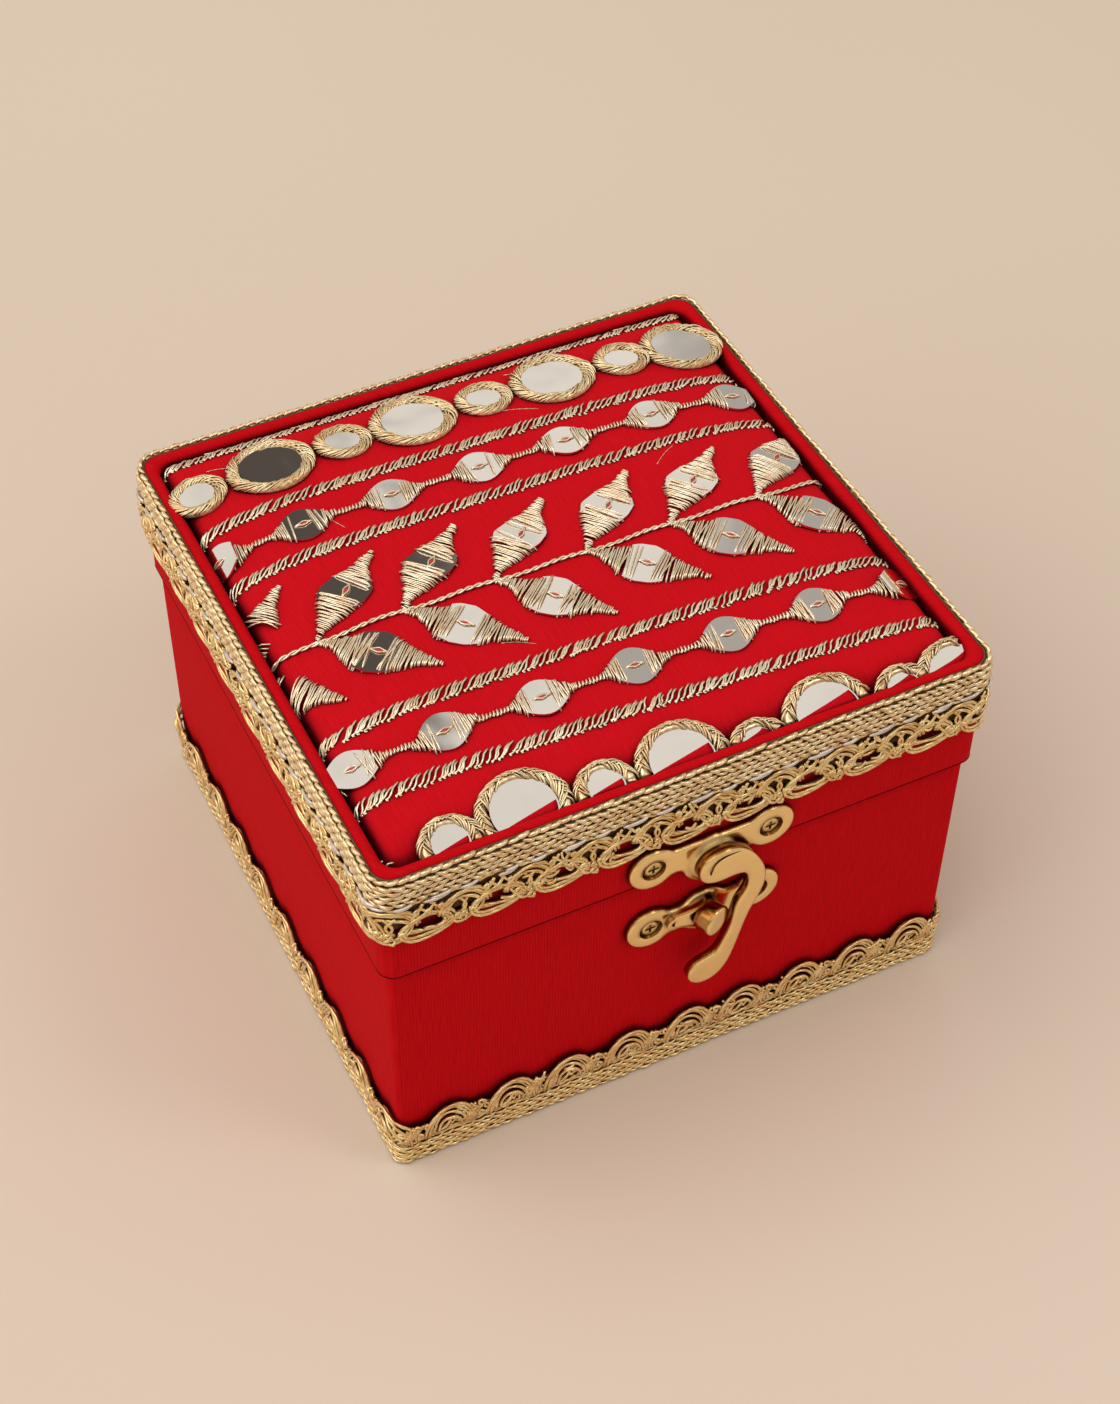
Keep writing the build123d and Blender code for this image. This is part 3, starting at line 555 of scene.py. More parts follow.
def metal_thread(name, dark, pale, painted_shade, turn, patch, reach, shut):
    """A material for metal thread: pale on the ply's crests and darker between them, a painted
    highlight and shade, and darker where it has worn, in patches of the given size per metre.
    It is painted brown as shade in the hollows between threads, where less than the share shut
    of what is around it, as far as reach, is open."""
    material, tree, shader = new_material(name)
    ply = node(tree, "Group", {"node_tree": twisted_ply}, Turn=turn).outputs["Height"]
    worn = noise(tree, patch, 3.0)
    worn = node(tree, "MapRange", Value=worn, From_Min=0.32, From_Max=0.68).outputs[0]
    # The share mixes painted highlight and shade from the ply's height with the thread's own wear.
    share = combine(tree, "MULTIPLY_ADD", ply, 0.4, combine(tree, "MULTIPLY", worn, 0.6))
    colour = blend(tree, share, linear(*dark), linear(*pale))
    colour = paint_occlusion_shade(tree, colour, linear(*painted_shade), reach, shut, shut + 0.45)
    raised = bumped(tree, 0.35, 0.00008, ply)
    feed(tree, shader, Base_Color=colour, Metallic=0.62, Roughness=0.24, Normal=raised)
    return material


# The third colour of each row is the painted shade in the hollows.
ring_gold, stitch_gold, lace_gold, border_gold = (
    metal_thread(name + " gold thread", *values)
    for name, *values in (
        ("ring", (206, 158, 98), (255, 242, 200), (86, 44, 16), 1.6, 300.0, 0.0011, 0.2),
        ("stitch", (228, 192, 146), (255, 248, 224), (150, 74, 40), 1.4, 300.0, 0.0006, 0.02),
        ("lace", (206, 162, 108), (255, 236, 190), (84, 44, 22), 2.0, 420.0, 0.001, 0.12),
        ("border", (212, 158, 88), (255, 234, 174), (62, 28, 14), 2.0, 420.0, 0.0012, 0.1),
    )
)


def tubes(runs, lift, radius, sides=6):
    """Round tubes along runs, an array of (run, point, 3). Each ring is the point plus the
    radius times the cosine of an angle sideways and its sine along lift. Both ends are closed.
    Returns points, faces, end faces and the thread coordinates of every corner."""
    runs = np.asarray(runs, float)
    count, length = runs.shape[:2]
    along = unit(np.gradient(runs, axis=1))
    side = unit(np.cross(along, np.broadcast_to(lift, runs.shape)))
    rise = np.cross(side, along)
    angle = np.linspace(0, math.tau, sides, endpoint=False)
    radius = np.broadcast_to(np.asarray(radius, float), (count, length))[..., None, None]
    around = side[:, :, None] * np.cos(angle)[:, None] + rise[:, :, None] * np.sin(angle)[:, None]
    points = (runs[:, :, None] + radius * around).reshape(-1, 3)
    n, i, j = np.indices((count, length - 1, sides))
    first = (n * length + i) * sides
    k = (j + 1) % sides
    faces = np.stack((first + j, first + sides + j, first + sides + k, first + k), -1)
    step = np.linalg.norm(np.diff(runs, axis=1), axis=-1)
    reach = np.concatenate((np.zeros((count, 1)), np.cumsum(step, axis=1)), 1)
    here, there = reach[n, i], reach[n, i + 1]
    low, high = j / sides, (j + 1) / sides
    marks = np.stack((here, low, there, low, there, high, here, high), -1).reshape(-1, 2)
    ring = np.arange(sides)
    starts = (np.arange(count) * length * sides)[:, None]
    caps = np.concatenate((starts + ring, starts + (length - 1) * sides + ring[::-1]))
    return points, faces.reshape(-1, 4), caps, marks, np.zeros((caps.size, 2))


def lay_threads(name, body, slot, material, sets):
    """One piece from several sets of tubes, all with the same number of sides."""
    points, walls, ends, marks, end_marks = zip(*sets)
    before = np.cumsum([0] + [len(spots) for spots in points])
    walls, ends = (
        np.concatenate([faces + count for faces, count in zip(kind, before)])
        for kind in (walls, ends)
    )
    marks = np.concatenate(marks + end_marks)
    return lay_mesh(name, body, slot, material, np.concatenate(points), walls, ends, marks=marks)


# Rings round the mirrors: a cord covered by fine thread, which goes over it in long slanting
# stitches. In the front row the stitches run down both sides and short ones cross them.
def ring_threads(seat, inner, outer, cut, plaited):
    """Each stitch goes over the ring from its outer to its inner edge along half an ellipse,
    while it runs on round the mirror. Along the row the ring is stretched by the square of the
    cosine of the way round."""
    middle = (inner + outer) / 2
    half = (outer - inner) / 2
    kept = []

    def place(angle, across, height):
        wide = 1 + 0.06 * np.cos(angle) ** 2
        tall = 0.98 - 0.09 * np.clip((across - inner) / (outer - inner), 0, 1)
        return seat.at(across * np.cos(angle) * wide, across * np.sin(angle) * tall, height)

    def add(count, sweep, reach, lift, radius, way):
        share = np.linspace(0, 1, 9)[None, :]
        start = np.linspace(0, math.tau, count, endpoint=False)[:, None]
        start = start + chance.normal(0, 0.05, (count, 1))
        flow = np.where(np.cos(start) < 0, 1.0, -1.0) if plaited else 1.0
        wide = sweep / middle * (1 + chance.normal(0, 0.15, (count, 1)))
        angle = start + way * flow * wide * (share - 0.3)
        swell = 1 + chance.normal(0, 0.07, (count, 1))
        over = math.pi * (reach[0] + (reach[1] - reach[0]) * share)
        across = middle + (half - 0.15) * swell * np.cos(over)
        height = lift + chance.normal(0.15, 0.12, (count, 1)) + 1.15 * np.sin(over) ** 0.8
        runs = place(angle, across, np.maximum(height, 0.05))
        if cut is not None:
            runs = runs[((runs[:, :, 1] > cut - 0.2) & (runs[:, :, 0] < rim_inside)).all(1)]
        thick = radius * (0.75 + 0.25 * np.sin(math.pi * share)) + np.zeros((len(runs), 1))
        kept.append(tubes(runs, seat.out, thick, 5))

    if plaited:
        add(int(math.tau * middle / 0.58), 5.0, (0.0, 0.95), 0.0, 0.205, 1.0)
        add(int(math.tau * middle / 0.85), 2.2, (0.0, 0.5), 0.2, 0.2, -1.0)
    else:
        add(int(math.tau * middle / 0.6), 5.2, (0.0, 0.95), 0.0, 0.2, 1.0)
    around = np.linspace(0, math.tau, 73)
    cords = [(middle, 0.12, half * 0.78)]
    if not plaited:
        cords += [(inner + 0.25, 0.6, 0.22), (inner + 0.75, 1.0, 0.22), (inner + 1.25, 1.22, 0.2)]
    for reach, lift, radius in cords:
        wobble = reach + 0.12 * np.sin(around * 3 + seat.middle[0] + reach)
        loop = place(around, wobble, lift)
        if cut is not None:
            loop = loop[(loop[:, 1] > cut) & (loop[:, 0] < rim_inside)]
            up, across = (loop - seat.middle) @ seat.up, (loop - seat.middle) @ seat.across
            loop = loop[np.argsort(np.mod(np.arctan2(up, across) + math.pi / 2, math.tau))]
        kept.append(tubes(loop[None], seat.out, radius, 5))
    return kept


sets = []
for seat, size, cut in seats:
    sets += ring_threads(seat, *ring_sizes[size], cut, cut is not None)
rings = lay_threads("mirror_ring_stitches", "lid", "gold_thread", ring_gold, sets)
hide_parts("mirror_thread_rings")

# A lip of the red cloth over the foot of each mirror of the front row. It rises from left to
# right, and ends along chords of the glass.
lips = []
for seat, size, cut in seats[len(back_row):]:
    radius, low = ring_sizes[size][0], lowest_b(seat, cut)
    share, rise = np.meshgrid(np.linspace(-1, 1, 12), np.linspace(0, 1, 6), indexing="ij")
    b = low + (1.45 + 1.1 * share) * rise * np.clip(radius / 6.1, 0.6, 1)
    a = within_rim(seat, np.sqrt(np.maximum(radius**2 - b**2, 0.04)) * share)
    lips.append(slab(seat.at(a, b, 0.86 + 0.1 * np.sin(rise * math.pi)), seat.at(a, b, 0.5)))


# Rope-stitch bands: rows of slanting stitches, each a pair of threads that comes up on one
# side of the row and goes down on the other, with a small hook at its head.
def slant_stitches(level, slope, width, low, high, sag=0.0):
    """Stitches along y = level + slope x. Each starts in a small hook at the row's lower side,
    then runs up the slant with a slight S, arched off the cloth by a half sine. Its hook is
    part of a turn of a small circle. Some have a twin close beside them."""
    count = int((high - low) / 1.17)
    start = np.linspace(low, high, count)[:, None] + chance.normal(0, 0.16, (count, 1))
    lean = 3.1 + chance.normal(0, 0.35, (count, 1))
    size = width * (1 + chance.normal(0, 0.09, (count, 1)))
    hook = 0.1 + 0.2 * chance.random((count, 1))
    share = np.linspace(0, 1, 8)[None, :]
    bend = np.linspace(-math.pi * 0.25, -math.pi, 4)[None, :]
    kept = []
    for shift, scale, radius, some in ((0.0, 1.0, 0.2, 1.0), (0.45, 0.75, 0.17, 0.4)):
        chosen = chance.random(count) < some
        place = start[chosen] + shift
        wide, tall, curl = lean[chosen] * scale, size[chosen] * scale, hook[chosen]
        up_x = place + wide * (share - 0.5) + 0.22 * np.sin(share * math.tau)
        up_y = tall * (share - 0.5)
        foot_x = up_x[:, :1] + curl * (1 + np.cos(bend))
        foot_y = up_y[:, :1] + curl * 0.9 * np.sin(bend) + 0.1
        x = np.concatenate((foot_x, up_x[:, 1:]), 1)
        y = np.concatenate((foot_y, up_y[:, 1:]), 1)
        y = level + slope * x + y + chance.normal(0, 0.1, (len(place), 1))
        y = y - sag * np.abs(x / pad_half[0]) ** 8
        foot = 0.1 + 0.08 * np.arange(4)
        rise = np.concatenate((foot, 0.45 * np.sin(share[0, 1:] * math.pi) ** 0.6))
        rise = np.maximum(rise, 0.12)[None, :] + np.zeros(x.shape)
        spots, out = on_pad(x, y, rise)
        kept.append(tubes(spots, out, radius, 5))
    return kept


sets = slant_stitches(56.9, 0.0, 2.1, -59.0, 58.5)
for level, slope in ((34.3, -0.016), (18.1, -0.014), (-27.2, -0.018), (-44.6, -0.036)):
    sets += slant_stitches(level, slope, 2.8, -60.5, 60.5, 0.8)
sets += slant_stitches(-103.2, -0.8, 1.6, -61.0, -56.6)
turn = np.linspace(0, math.tau * 0.93, 16)[None, :]
loops = np.array((-48.0, -29.0, -10.5, 8.0, 27.5, 46.0))[:, None]
x, y = loops + 2.0 * np.cos(turn), 58.6 + 0.6 * np.sin(turn)
sets.append(tubes(*on_pad(x, y, 0.5 + 0.2 * np.sin(turn)), 0.15, 5))
strays = np.array((
    (-38, 29, -34, 22), (8, 41, 16, 38), (15, 53, 21, 49.5),
    (-52, 52, -47, 50), (30, 12, 36, 16), (-20, -20, -14, -23),
))
share = np.linspace(0, 1, 8)[None, :]
x, y = (strays[:, n, None] + (strays[:, n + 2, None] - strays[:, n, None]) * share for n in (0, 1))
sets.append(tubes(*on_pad(x, y + 0.4 * np.sin(share * math.pi), 0.08), 0.05, 5))
bands = lay_threads("rope_stitches", "lid", "gold_thread", stitch_gold, sets)
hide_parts("rope_stitch_bands")


# Almond mirrors: two rows of small glass pieces held by thread wound over their two ends, and
# joined into a chain by thin whipped cord. A red stitch in gold thread marks each middle.
def beside(place, turn, long, wide, height):
    """Points a height off the pad, along and across a piece whose axis is turned from x."""
    c, s = math.cos(turn), math.sin(turn)
    return on_pad(place[0] + c * long - s * wide, place[1] + s * long + c * wide, height)


def wound(places, turns, left_half, right_half, gap):
    """Thread wound over flat pieces. At each step along a piece's axis, outside the bare gap,
    one thread goes over from side to side at the piece's half width there, flat on top and
    bent down at both edges by the eighth power of its share of the way. Some threads are left
    out near the gap, where the glass shows between them."""
    low, high = left_half[0][0], left_half[0][-1]
    spacing, near, missing_near, missing = 0.4, 1.4, 0.3, 0.05
    share = np.linspace(0, 1, 9)[None, :]
    sets = []
    for place, turn in zip(places, turns):
        along = np.arange(low, high, spacing)
        along = along[(along < gap[0]) | (along > gap[1])]
        close = np.minimum(np.abs(along - gap[0]), np.abs(along - gap[1])) < near
        along = along[chance.random(len(along)) > np.where(close, missing_near, missing)]
        along = (along + chance.normal(0, 0.06, len(along)))[:, None]
        left, right = (
            np.maximum(np.interp(along, *half) + chance.normal(0, 0.16, along.shape), 0.25)
            for half in (left_half, right_half)
        )
        wide = left * share - right * (1 - share)
        lean = chance.normal(0, 0.07, along.shape) + 0.05
        steps = (low, gap[0] - 5, gap[0], gap[1], gap[1] + 5, high)
        thick = np.interp(along, steps, (0.35, 0.6, 0.85, 0.85, 0.6, 0.35))
        height = 0.08 + thick * (1 - np.abs(2 * share - 1) ** 8) + chance.random(along.shape) * 0.12
        spots, out = beside(place, turn, along + lean * wide * 1.2, wide, height)
        sets.append(tubes(spots, out, 0.165, 5))
    return sets


def cut_glass(places, turns, tips, left_half, right_half, gap, lift=0.55):
    """The glass of a piece: a small flat grid from one edge to the other, a little narrower than
    the thread over it. It runs on under the thread on both sides of the bare gap, and is tipped
    along x as it was sewn."""
    middle, under, narrower = sum(gap) / 2, 2.2, 0.97
    run = np.linspace(gap[0] - under, gap[1] + under, 10)
    long, share = np.meshgrid(run, np.linspace(0, 1, 12), indexing="ij")
    wide = np.interp(long, *left_half) * share - np.interp(long, *right_half) * (1 - share)
    parts = []
    for place, turn, tip in zip(places, turns, tips):
        spot, out = beside(place, turn, middle, 0.0, 0.0)
        out = unit(out + (tip, 0.02 * chance.normal(), 0))
        axis = np.array((math.cos(turn), math.sin(turn), 0))
        ahead = unit(axis - out * (axis @ out))
        aside = np.cross(out, ahead) * narrower
        top = spot + (long - middle)[..., None] * ahead + wide[..., None] * aside + lift * out
        parts.append(slab(top, top - out * (lift - 0.05)))
    return join(parts)


def middle_stitch(places, turns, at, long_half, wide_half):
    """The red stitch in the middle of a piece: a flat oval bead, and two gold threads that run
    along the piece's axis and part round it by a bell curve."""
    around, down = 12, 7
    u = np.linspace(0, math.tau, around, endpoint=False)[:, None]
    v = np.linspace(0, math.pi, down)[None, :]
    index = np.arange(around * down).reshape(around, down)
    after = np.roll(index, -1, 0)
    faces = np.stack((index[:, :-1], index[:, 1:], after[:, 1:], after[:, :-1]), -1).reshape(-1, 4)
    share = np.linspace(-1, 1, 9)
    beads, threads = [], []
    for place, turn in zip(places, turns):
        long, wide = at + long_half * np.cos(u) * np.sin(v), wide_half * np.sin(u) * np.sin(v)
        spots, _ = beside(place, turn, long, wide, 0.66 + 0.2 * np.cos(v))
        beads.append((spots.reshape(-1, 3), faces))
        for side in (-1, 1):
            long = at + share * long_half * 2.2
            wide = side * ((wide_half + 0.15) * np.exp(-((share / 0.45) ** 2)) + 0.05)
            run, out = beside(place, turn, long, wide, 0.85 - 0.3 * share**4)
            threads.append(tubes(run[None], out[None], 0.15, 5))
    return beads, threads


def speckled(name, low, high, scale, detail, roughness, metallic=0.0):
    """A material whose colour a noise mixes from two, with scale spots per metre."""
    material, tree, shader = new_material(name)
    colour = blend(tree, noise(tree, scale, detail), linear(*low), linear(*high))
    feed(tree, shader, Base_Color=colour, Metallic=metallic, Roughness=roughness)
    return material


red_thread = speckled("red silk thread", (150, 16, 22), (220, 60, 60), 900.0, 2.0, 0.5)

almond_end = 6.9
steps = np.linspace(-almond_end, almond_end, 25)
almond_half = (steps, 0.45 + 4.05 * np.cos(steps / almond_end * math.pi / 2) ** 1.35)
almonds = [(x, 26.2 - 0.004 * x) for x in (-58.7, -41.0, -22.1, -2.9, 16.3, 36.1, 55.1)]
almonds += [(x, -35.7 - 0.012 * x) for x in (-56.8, -38.5, -18.9, 0.3, 20.1, 39.5, 58.2)]
almond_turns = [chance.normal(-0.02, 0.05) for _ in almonds]
almond_gap = (-2.15, 2.15)
almond_tips = (0.02, 0.0, -0.012, 0.0, 0.02, 0.0, 0.0, 0.01, -0.03, 0.0, 0.02, -0.01, 0.0, 0.0)
sets = wound(almonds, almond_turns, almond_half, almond_half, almond_gap)
glass = cut_glass(almonds, almond_turns, almond_tips, almond_half, almond_half, almond_gap)
piece = lay_mesh("almond_mirror_glass", "lid", "mirror_glass", mirror_glass, *glass, smooth=False)
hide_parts("almond_mirrors")
beads, threads = middle_stitch(almonds, almond_turns, 0.0, 0.85, 0.32)
sets += threads


def whipped_cord(start, end):
    """A cord whipped with thread: a flat helix along a line, its height a half cosine."""
    radius, pitch = 0.55, 0.72
    run = np.subtract(end, start)
    length = np.linalg.norm(run)
    share = np.linspace(0, 1, int(length / pitch * 8))
    turn = share * length / pitch * math.tau
    wide = radius * np.sin(turn) * (1 + 0.25 * np.sin(turn * 0.23 + start[0]))
    x = start[0] + run[0] * share - run[1] / length * wide
    y = start[1] + run[1] * share + run[0] / length * wide
    spots, out = on_pad(x, y, 0.42 + 0.26 * np.cos(turn))
    return tubes(spots[None], out[None], 0.18, 5)


cord_reach = 6.2
for row in (almonds[:7], almonds[7:]):
    for (x, y), (next_x, next_y) in zip(row[:-1], row[1:]):
        sets.append(whipped_cord((x + cord_reach, y), (next_x - cord_reach, next_y)))
piece = lay_threads("almond_stitches", "lid", "gold_thread", stitch_gold, sets)
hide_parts("almond_threads")

# Leafy vine: a twisted stem across the panel with a pair of leaves at each node, one up and
# one down. Each leaf is a cut mirror wound with thread from both ends and drawn to a point.
upper_left = ([0, 2.4, 5.4, 9.0, 12.7, 16.7, 18.4, 21.0, 24.0, 25.6],
              [0.4, 1.05, 2.5, 4.5, 5.5, 3.9, 2.7, 1.4, 0.95, 0.35])
upper_right = ([0, 3.1, 5.9, 9.6, 12.6, 15.6, 17.9, 20.9, 24.0, 25.6],
               [0.3, 0.45, 1.7, 3.4, 4.6, 4.85, 3.5, 1.5, 0.7, 0.3])
lower_left = ([0, 3.0, 6.3, 9.8, 13.0, 16.7, 20.8, 23.0, 24.9],
              [0.5, 1.5, 3.0, 4.9, 5.15, 3.4, 1.75, 0.9, 0.3])
lower_right = ([0, 2.9, 5.6, 8.1, 11.0, 14.0, 17.7, 21.0, 24.9],
               [0.4, 0.7, 2.7, 4.9, 5.6, 5.3, 3.5, 1.4, 0.3])
vine_nodes = [
    (-70.2, -3.4), (-50.8, -3.9), (-33.1, -4.4), (-14.0, -4.7), (5.4, -5.0), (23.9, -5.0),
    (43.8, -4.8),
]
upper_turns, lower_turns = (
    [math.radians(angle) + chance.normal(0, 0.02) for _ in vine_nodes] for angle in (43.5, -42.1)
)
leaf_kinds = (
    (upper_turns, upper_left, upper_right, (12.2, 15.3), 13.7, (0.0, -0.03, 0.0, 0.01, 0.0, 0.0)),
    (lower_turns, lower_left, lower_right, (10.6, 14.0), 12.3, (0.02, 0.02, 0.0, -0.01, 0.0, 0.0)),
)
sets, glass = [], []
for turns, left, right, gap, at, tips in leaf_kinds:
    sets += wound(vine_nodes, turns, left, right, gap)
for turns, left, right, gap, at, tips in leaf_kinds:
    glass.append(cut_glass(vine_nodes[1:], turns[1:], tips, left, right, gap))
    more_beads, threads = middle_stitch(vine_nodes[1:], turns[1:], at, 0.95, 0.36)
    beads += more_beads
    sets += threads
piece = lay_mesh(
    "leaf_mirror_glass", "lid", "mirror_glass", mirror_glass, *join(glass), smooth=False
)
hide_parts("leaf_mirrors")
piece = lay_threads("leaf_stitches", "lid", "gold_thread", stitch_gold, sets)
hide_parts("leaf_threads")
lay_mesh("red_middle_stitches", "lid", "red_cloth", red_thread, *join(beads))
lay_mesh("red_mirror_lips", "lid", "red_cloth", pad_cloth, *join(lips))


def twisted_stem():
    """Two plies that turn about each other along a line through the nodes, which rises a
    little on its way to each node."""
    node_pitch, ply_turn = 19.1, 4.0
    x = np.linspace(-60.2, 60.2, 900)
    line = np.interp(x, *zip(*vine_nodes, (60.0, -3.6)))
    line = line - 0.3 * np.sin((x - vine_nodes[4][0]) / node_pitch * math.tau)
    kept = []
    for start in (0, math.pi):
        turn = x / ply_turn * math.tau + start
        spots, out = on_pad(x, line + 0.26 * np.sin(turn), 0.38 + 0.2 * np.cos(turn))
        kept.append(tubes(spots[None], out[None], 0.23, 5))
    return kept


piece = lay_threads("vine_stem", "lid", "gold_thread", stitch_gold, twisted_stem())
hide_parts("vine_stem_thread")

# Lace: braided metal-thread trim, glued round the lid under the rim and round the foot. It
# has rows of chain braid, and a border of arched cords over open holes with knots between.
def lace_path(spots, out):
    """A closed outline as a table: distance along it, position and outward direction."""
    step = np.linalg.norm(np.roll(spots, -1, 0) - spots, axis=1)
    reach = np.concatenate(([0], np.cumsum(step)))
    return reach, np.vstack((spots, spots[:1])), np.vstack((out, out[:1]))


lace_paths = {
    "lid": lace_path(*round_box(*lid_half, 0.0, 3.8, 200, 24)),
    "base": lace_path(*round_box(*base_half, base_centre, 1.6, 200, 16)),
}
repeat = 13.2
valley = repeat / 2
rim_run = 2.6


def on_wall(which, along, height, off):
    """Points at a distance along the box's outline, a height and a distance off the cloth.
    Above the rim's middle the height runs on round the lid's rim, a circle: its angle is the
    rest of the height over the radius. Also returns the direction off the cloth."""
    reach, spots, out = lace_paths[which]
    along = np.mod(along, reach[-1])
    place, face = (
        np.stack([np.interp(along, reach, table[:, n]) for n in (0, 1)], -1)
        for table in (spots, out)
    )
    face = unit(face)
    height, off = np.broadcast_to(height, along.shape), np.broadcast_to(off, along.shape)
    turn = np.clip(height - rim_middle, 0, rim_run) / rim_radius
    inward = rim_radius * (1 - np.cos(turn))
    place = place + face * (off * np.cos(turn) - inward)[..., None]
    level = np.minimum(height, rim_middle) + (rim_radius + off) * np.sin(turn)
    away = np.concatenate((face * np.cos(turn)[..., None], np.sin(turn)[..., None]), -1)
    return np.concatenate((place, level[..., None]), -1), away


def chain_row(which, level, height, direction, pitch, off, thick):
    """Chain braid: two staggered lines of plump strokes that lie nearly along the row. Each
    stroke goes from the row's edge towards its middle, and swells off the wall by a half sine."""
    total = lace_paths[which][0][-1]
    count = int(round(total / pitch))
    share = np.linspace(0, 1, 7)[None, :]
    kept = []
    for side, shift in ((-1, 0.0), (1, 0.5)):
        start = ((np.arange(count) + shift) * total / count)[:, None]
        start = start + chance.normal(0, 0.12, (count, 1))
        along = start + direction * (share - 0.5) * pitch * 1.4
        rise = level + side * height * (0.36 - 0.2 * share) + chance.normal(0, 0.06, (count, 1))
        out = off + 0.5 * np.sin(share * math.pi) ** 0.8 + chance.normal(0, 0.07, (count, 1))
        spots, face = on_wall(which, along, rise, out)
        width = thick * (0.35 + 0.65 * np.sin(share * math.pi) ** 0.7)
        kept.append(tubes(spots, face, width * (1 + chance.normal(0, 0.1, (count, 1))), 6))
    return kept


def long_cord(which, level, off, radius, wave, phase):
    """A cord all the way round, which waves up and down by a sine of the distance, once in each
    repeat, with a finer sine on it."""
    total = lace_paths[which][0][-1]
    along = np.linspace(0, total, 1300)
    turn = along / total * round(total / repeat) * math.tau + phase
    rise = level + wave * np.sin(turn) + 0.12 * np.sin(along * 3.1 + phase)
    spots, face = on_wall(which, along, rise, off + 0.25 * np.cos(turn + phase))
    return tubes(spots[None], face[None], radius, 6)


class Border:
    """The patterned edge of a lace: where each repeat starts along the outline, the height that
    the edge grows from, and the way it grows, 1 for up and -1 for down."""

    def __init__(self, which, level, way, shift):
        self.which, self.level, self.way = which, level, way
        self.total = lace_paths[which][0][-1]
        count = int(round(self.total / repeat))
        self.starts = (np.arange(count) * self.total / count)[:, None] + shift
        self.starts = self.starts + chance.normal(0, 0.3, (count, 1))

    def scatter(self, spread):
        """A random number for each repeat."""
        return chance.normal(0, spread, self.starts.shape)

    def lay(self, along, away, off, radius):
        spots, face = on_wall(self.which, along, self.level + self.way * away, off)
        return tubes(spots, face, radius, 6)

    def curved(self, middle, sizes, swing, off, radius):
        """One cord of every repeat for each size (wide, tall): part of an ellipse round the
        middle (along, away from the band), between two angles in half turns."""
        turn = np.linspace(*swing, 15)[None, :] * math.pi
        kept = []
        for number, (wide, tall) in enumerate(sizes):
            jitter = self.scatter(0.12)
            along = self.starts + middle[0] - wide * np.cos(turn) + jitter
            away = middle[1] + tall * np.sin(turn) + jitter * 0.6
            lift = off + 0.3 * math.sin(number * 1.9 + 0.6) + 0.3 * np.sin(turn * 2 + number)
            thick = radius * (1 + 0.18 * np.sin(turn * 3 + number * 2.1))
            kept.append(self.lay(along, away, lift, thick))
        return kept

    def crossing(self, curves, off, radius):
        """Short cords of every repeat. Each is a cubic Bezier curve through four points (along,
        away), and rises off the wall by a half sine so that it passes over its neighbours."""
        share = np.linspace(0, 1, 9)
        rest = 1 - share
        weights = np.stack((rest**3, 3 * share * rest**2, 3 * share**2 * rest, share**3), -1)
        kept = []
        for number, curve in enumerate(curves):
            along, away = (weights @ np.array(curve, float)).T[:, None]
            jitter = self.scatter(0.12)
            lift = off + (0.35 + 0.25 * (number % 2)) * np.sin(share * math.pi)
            thick = radius * (1 + self.scatter(0.08))
            kept.append(self.lay(self.starts + along + jitter, away + jitter, lift, thick))
        return kept

    def knots(self, places):
        """A ring of thick thread at each place (along, away, radius) of every repeat."""
        turn = np.linspace(0, math.tau * 1.1, 9)[None, :]
        kept = []
        for along, away, size in places:
            jitter = self.scatter(0.2)
            here = self.starts + along + size * np.cos(turn) + jitter
            away = away + size * 0.9 * np.sin(turn) + jitter
            thick = 0.36 * (1 + self.scatter(0.12))
            kept.append(self.lay(here, away, 1.35 + 0.3 * np.sin(turn * 2), thick))
        return kept

    def loose(self, count, low, high):
        """Short strands scattered over the border: each is a small arc, a parabola across a
        straight line at a random angle, and rises off the wall by a half sine."""
        shape = (count, 1)
        start = chance.uniform(0, self.total, shape)
        away = chance.uniform(low, high, shape)
        angle = chance.normal(0, 0.55, shape) + math.pi * chance.integers(0, 2, shape)
        length = chance.uniform(2.0, 4.2, shape)
        share = np.linspace(-0.5, 0.5, 7)[None, :]
        bow = chance.normal(0, 1.6, shape) * (0.25 - share**2)
        along = start + length * share * np.cos(angle) - bow * np.sin(angle)
        away = away + length * share * np.sin(angle) + bow * np.cos(angle)
        lift = 1.0 + 0.5 * np.cos(share * math.pi) + chance.normal(0, 0.1, shape)
        return self.lay(along, away, lift, 0.3 * (1 + chance.normal(0, 0.12, shape)))


def both_ways(middle, curves):
    """The same curves, and again turned over about a line at the distance middle."""
    return list(curves) + [[(2 * middle - a, w) for a, w in curve] for curve in curves]


sets = []
for number, (level, height) in enumerate(((88.85, 1.9), (86.7, 2.3), (84.35, 2.3))):
    sets += chain_row("lid", level, height, 1 if number % 2 else -1, 2.1, 0.35, 0.47)
piece = lay_threads("lid_lace_band", "lid", "gold_lace", lace_gold, sets)
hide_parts("lid_lace")

lid_border = Border("lid", 82.5, -1, 5.0)
sets = [long_cord("lid", 82.75, 0.6, 0.36, 0.12, 0.0)]
wide_swing, full_swing = (-0.06, 1.06), (0.0, 1.0)
upper_arcs = ((5.1, -4.8), (4.45, -4.15), (3.8, -3.5), (3.15, -2.9))
scallops = ((5.5, 3.3), (4.8, 2.65), (4.1, 2.0), (3.3, 1.35))
sets += lid_border.curved((-valley, 5.2), upper_arcs, (0.02, 0.98), 1.0, 0.36)
sets += lid_border.curved((0.0, 6.2), scallops, wide_swing, 1.2, 0.34)
sets += lid_border.curved(
    (0.0, 6.2), ((5.3, -3.1), (4.6, -2.45), (3.8, -1.8)), wide_swing, 1.0, 0.34
)
sets += lid_border.curved((-valley, 6.1), ((2.6, 2.4), (1.9, 1.7)), full_swing, 1.1, 0.33)
